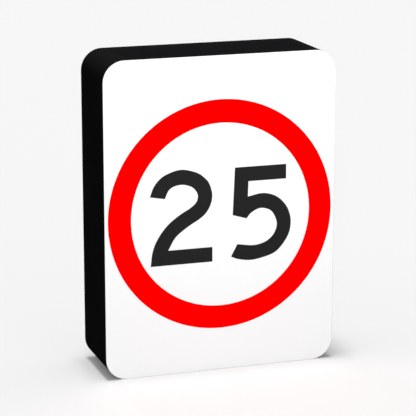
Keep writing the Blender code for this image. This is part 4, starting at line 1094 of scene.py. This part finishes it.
def fuse():
    """The fuse holder and its slotted cap with a notched grip."""
    at = node_middle("fuse_holder")
    low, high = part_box("fuse_holder")
    body_r, flange_r, bore_r = 7 * MM, 9.5 * MM, 5.3 * MM
    holder = turned("fuse_body", at, 1, [
        (body_r, low.y), (body_r, high.y - 2.5 * MM), (flange_r, high.y - 2.5 * MM),
        (flange_r, high.y - 0.7 * MM), (8.9 * MM, high.y), (bore_r, high.y),
        (bore_r, low.y + 3 * MM),
    ], steps=56)
    install(holder, BLACK_PLASTIC, "fuse_holder")
    low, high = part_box("fuse_cap")
    stem_r, knob_r, knob = 5 * MM, 7.5 * MM, high.y - 8 * MM
    cap = turned("fuse_knob", at, 1, [
        (stem_r, low.y), (stem_r, knob), (knob_r, knob), (knob_r, high.y - 1.4 * MM),
        (7.1 * MM, high.y - 0.5 * MM), (6.4 * MM, high.y),
    ], steps=72)
    notch = prism("notch", (at.x, at.y, at.z + 7.7 * MM), 0.6 * MM, 12, 1, knob + 1.2 * MM,
                  high.y + MM)
    slot_half, slot_long, slot_deep = 0.8 * MM, 6 * MM, 1.5 * MM
    carve(cap, ring_of(notch, "notches", at, 1, 18),
          cube("slot", (at.x - slot_half, high.y - slot_deep, at.z - slot_long),
               (at.x + slot_half, high.y + MM, at.z + slot_long)))
    facing_out(cap)
    install(cap, BLACK_PLASTIC, "fuse_cap", body="fuse_carrier")


def leads():
    """The leads inside the box, rounded off, with a boot where each one ends on a post."""
    for name, look in (("battery_lead_plus", RED_SHEATH), ("battery_lead_minus", BLACK_SHEATH),
                       ("solar_lead", BLACK_SHEATH), ("led_feed_cable", BLACK_SHEATH)):
        refined(f"{name}_sheath", name, look, swell=0.4 * MM, smooth=60)
    for pole, look in (("plus", RED_SHEATH), ("minus", BLACK_SHEATH)):
        low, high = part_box(f"battery_terminal_{pole}")
        top = high.z + 0.1 * MM
        boot = turned(f"lead_boot_{pole}", (low + high) / 2, 2, [
            (4.6 * MM, top), (4.6 * MM, top + 3 * MM), (4 * MM, top + 4.5 * MM),
            (3.4 * MM, top + 10 * MM), (2.9 * MM, top + 11 * MM)], steps=32)
        install(boot, look)


# ---- stage

def towards(azimuth, height):
    """One metre towards a compass angle from the front and a height, both in degrees."""
    turn, rise = math.radians(azimuth), math.radians(height)
    return Vector((math.sin(turn) * math.cos(rise), -math.cos(turn) * math.cos(rise),
                   math.sin(rise)))


def set_up(name, device, at, heading):
    """Puts a camera or a light at a place, looking along a heading."""
    made = bpy.data.objects.new(name, device)
    made.location = at
    made.rotation_euler = heading.to_track_quat("-Z", "Y").to_euler()
    bpy.context.scene.collection.objects.link(made)
    return made


def distant_light(name, azimuth, height, softness, power):
    """An even light from far away: its compass angle from the front and its height in degrees."""
    glow = bpy.data.lights.new(name, "SUN")
    glow.energy = power
    glow.angle = math.radians(softness)
    step = towards(azimuth, height)
    set_up(name, glow, 6 * step, -step)


def soft_box(name, at, size, power, target, spread_angle):
    """A square soft box aimed at a point, its beam held to an angle in degrees."""
    glow = bpy.data.lights.new(name, "AREA")
    glow.size = size
    glow.energy = power
    glow.spread = math.radians(spread_angle)
    made = set_up(name, glow, at, Vector(target) - Vector(at))
    made.visible_camera = False


def stage():
    """A plain pale floor, soft light from above and in front, and the camera."""
    floor_wide, floor_grey, sky = 60, (0.8, 0.8, 0.8), 0.5
    clear_selection()
    bpy.ops.mesh.primitive_plane_add(size=floor_wide, location=(0, 0, 0))
    floor = settle("floor")
    floor.data.materials.append(new_look("pale_floor", floor_grey, 0.9, specular=0.0))

    world = bpy.data.worlds.new("studio")
    world.use_nodes = True
    backdrop = world.node_tree.nodes["Background"]
    backdrop.inputs["Color"].default_value = (1, 1, 1, 1)
    backdrop.inputs["Strength"].default_value = sky
    bpy.context.scene.world = world
    bpy.context.scene.view_settings.view_transform = "Standard"

    aim, away = Vector((-1.4 * MM, -1 * MM, 394.7 * MM)), 4.942
    step = towards(azimuth=-18.614, height=13.863)
    seen = bpy.data.cameras.new("camera")
    seen.lens = 169.6
    bpy.context.scene.camera = set_up("camera", seen, aim + away * step, -step)

    distant_light("front", azimuth=-20, height=17, softness=8, power=0.95)
    distant_light("overhead", azimuth=-72, height=88.4, softness=12, power=1.78)
    soft_box("top_front", at=(0.1, -1.3, 0.9), size=0.5, power=2.6, target=(0, -0.1, 1.15),
             spread_angle=100)
    soft_box("rear_fill", at=(-0.3, 2.0, 0.9), size=0.6, power=0.7, target=(0, 0.1, 0.42),
             spread_angle=30)


stage()
plain_nodes()
band_shell()
face_sheet()
rear_panel()
mount_rails()
breather_vent()
rear_door()
hinges()
locks()
solar_module()
sealing_strips()
light_box()
equipment_plate()
battery()
battery_strap()
controller()
driver()
terminal_row()
switch_panel()
test_button()
fuse()
leads()
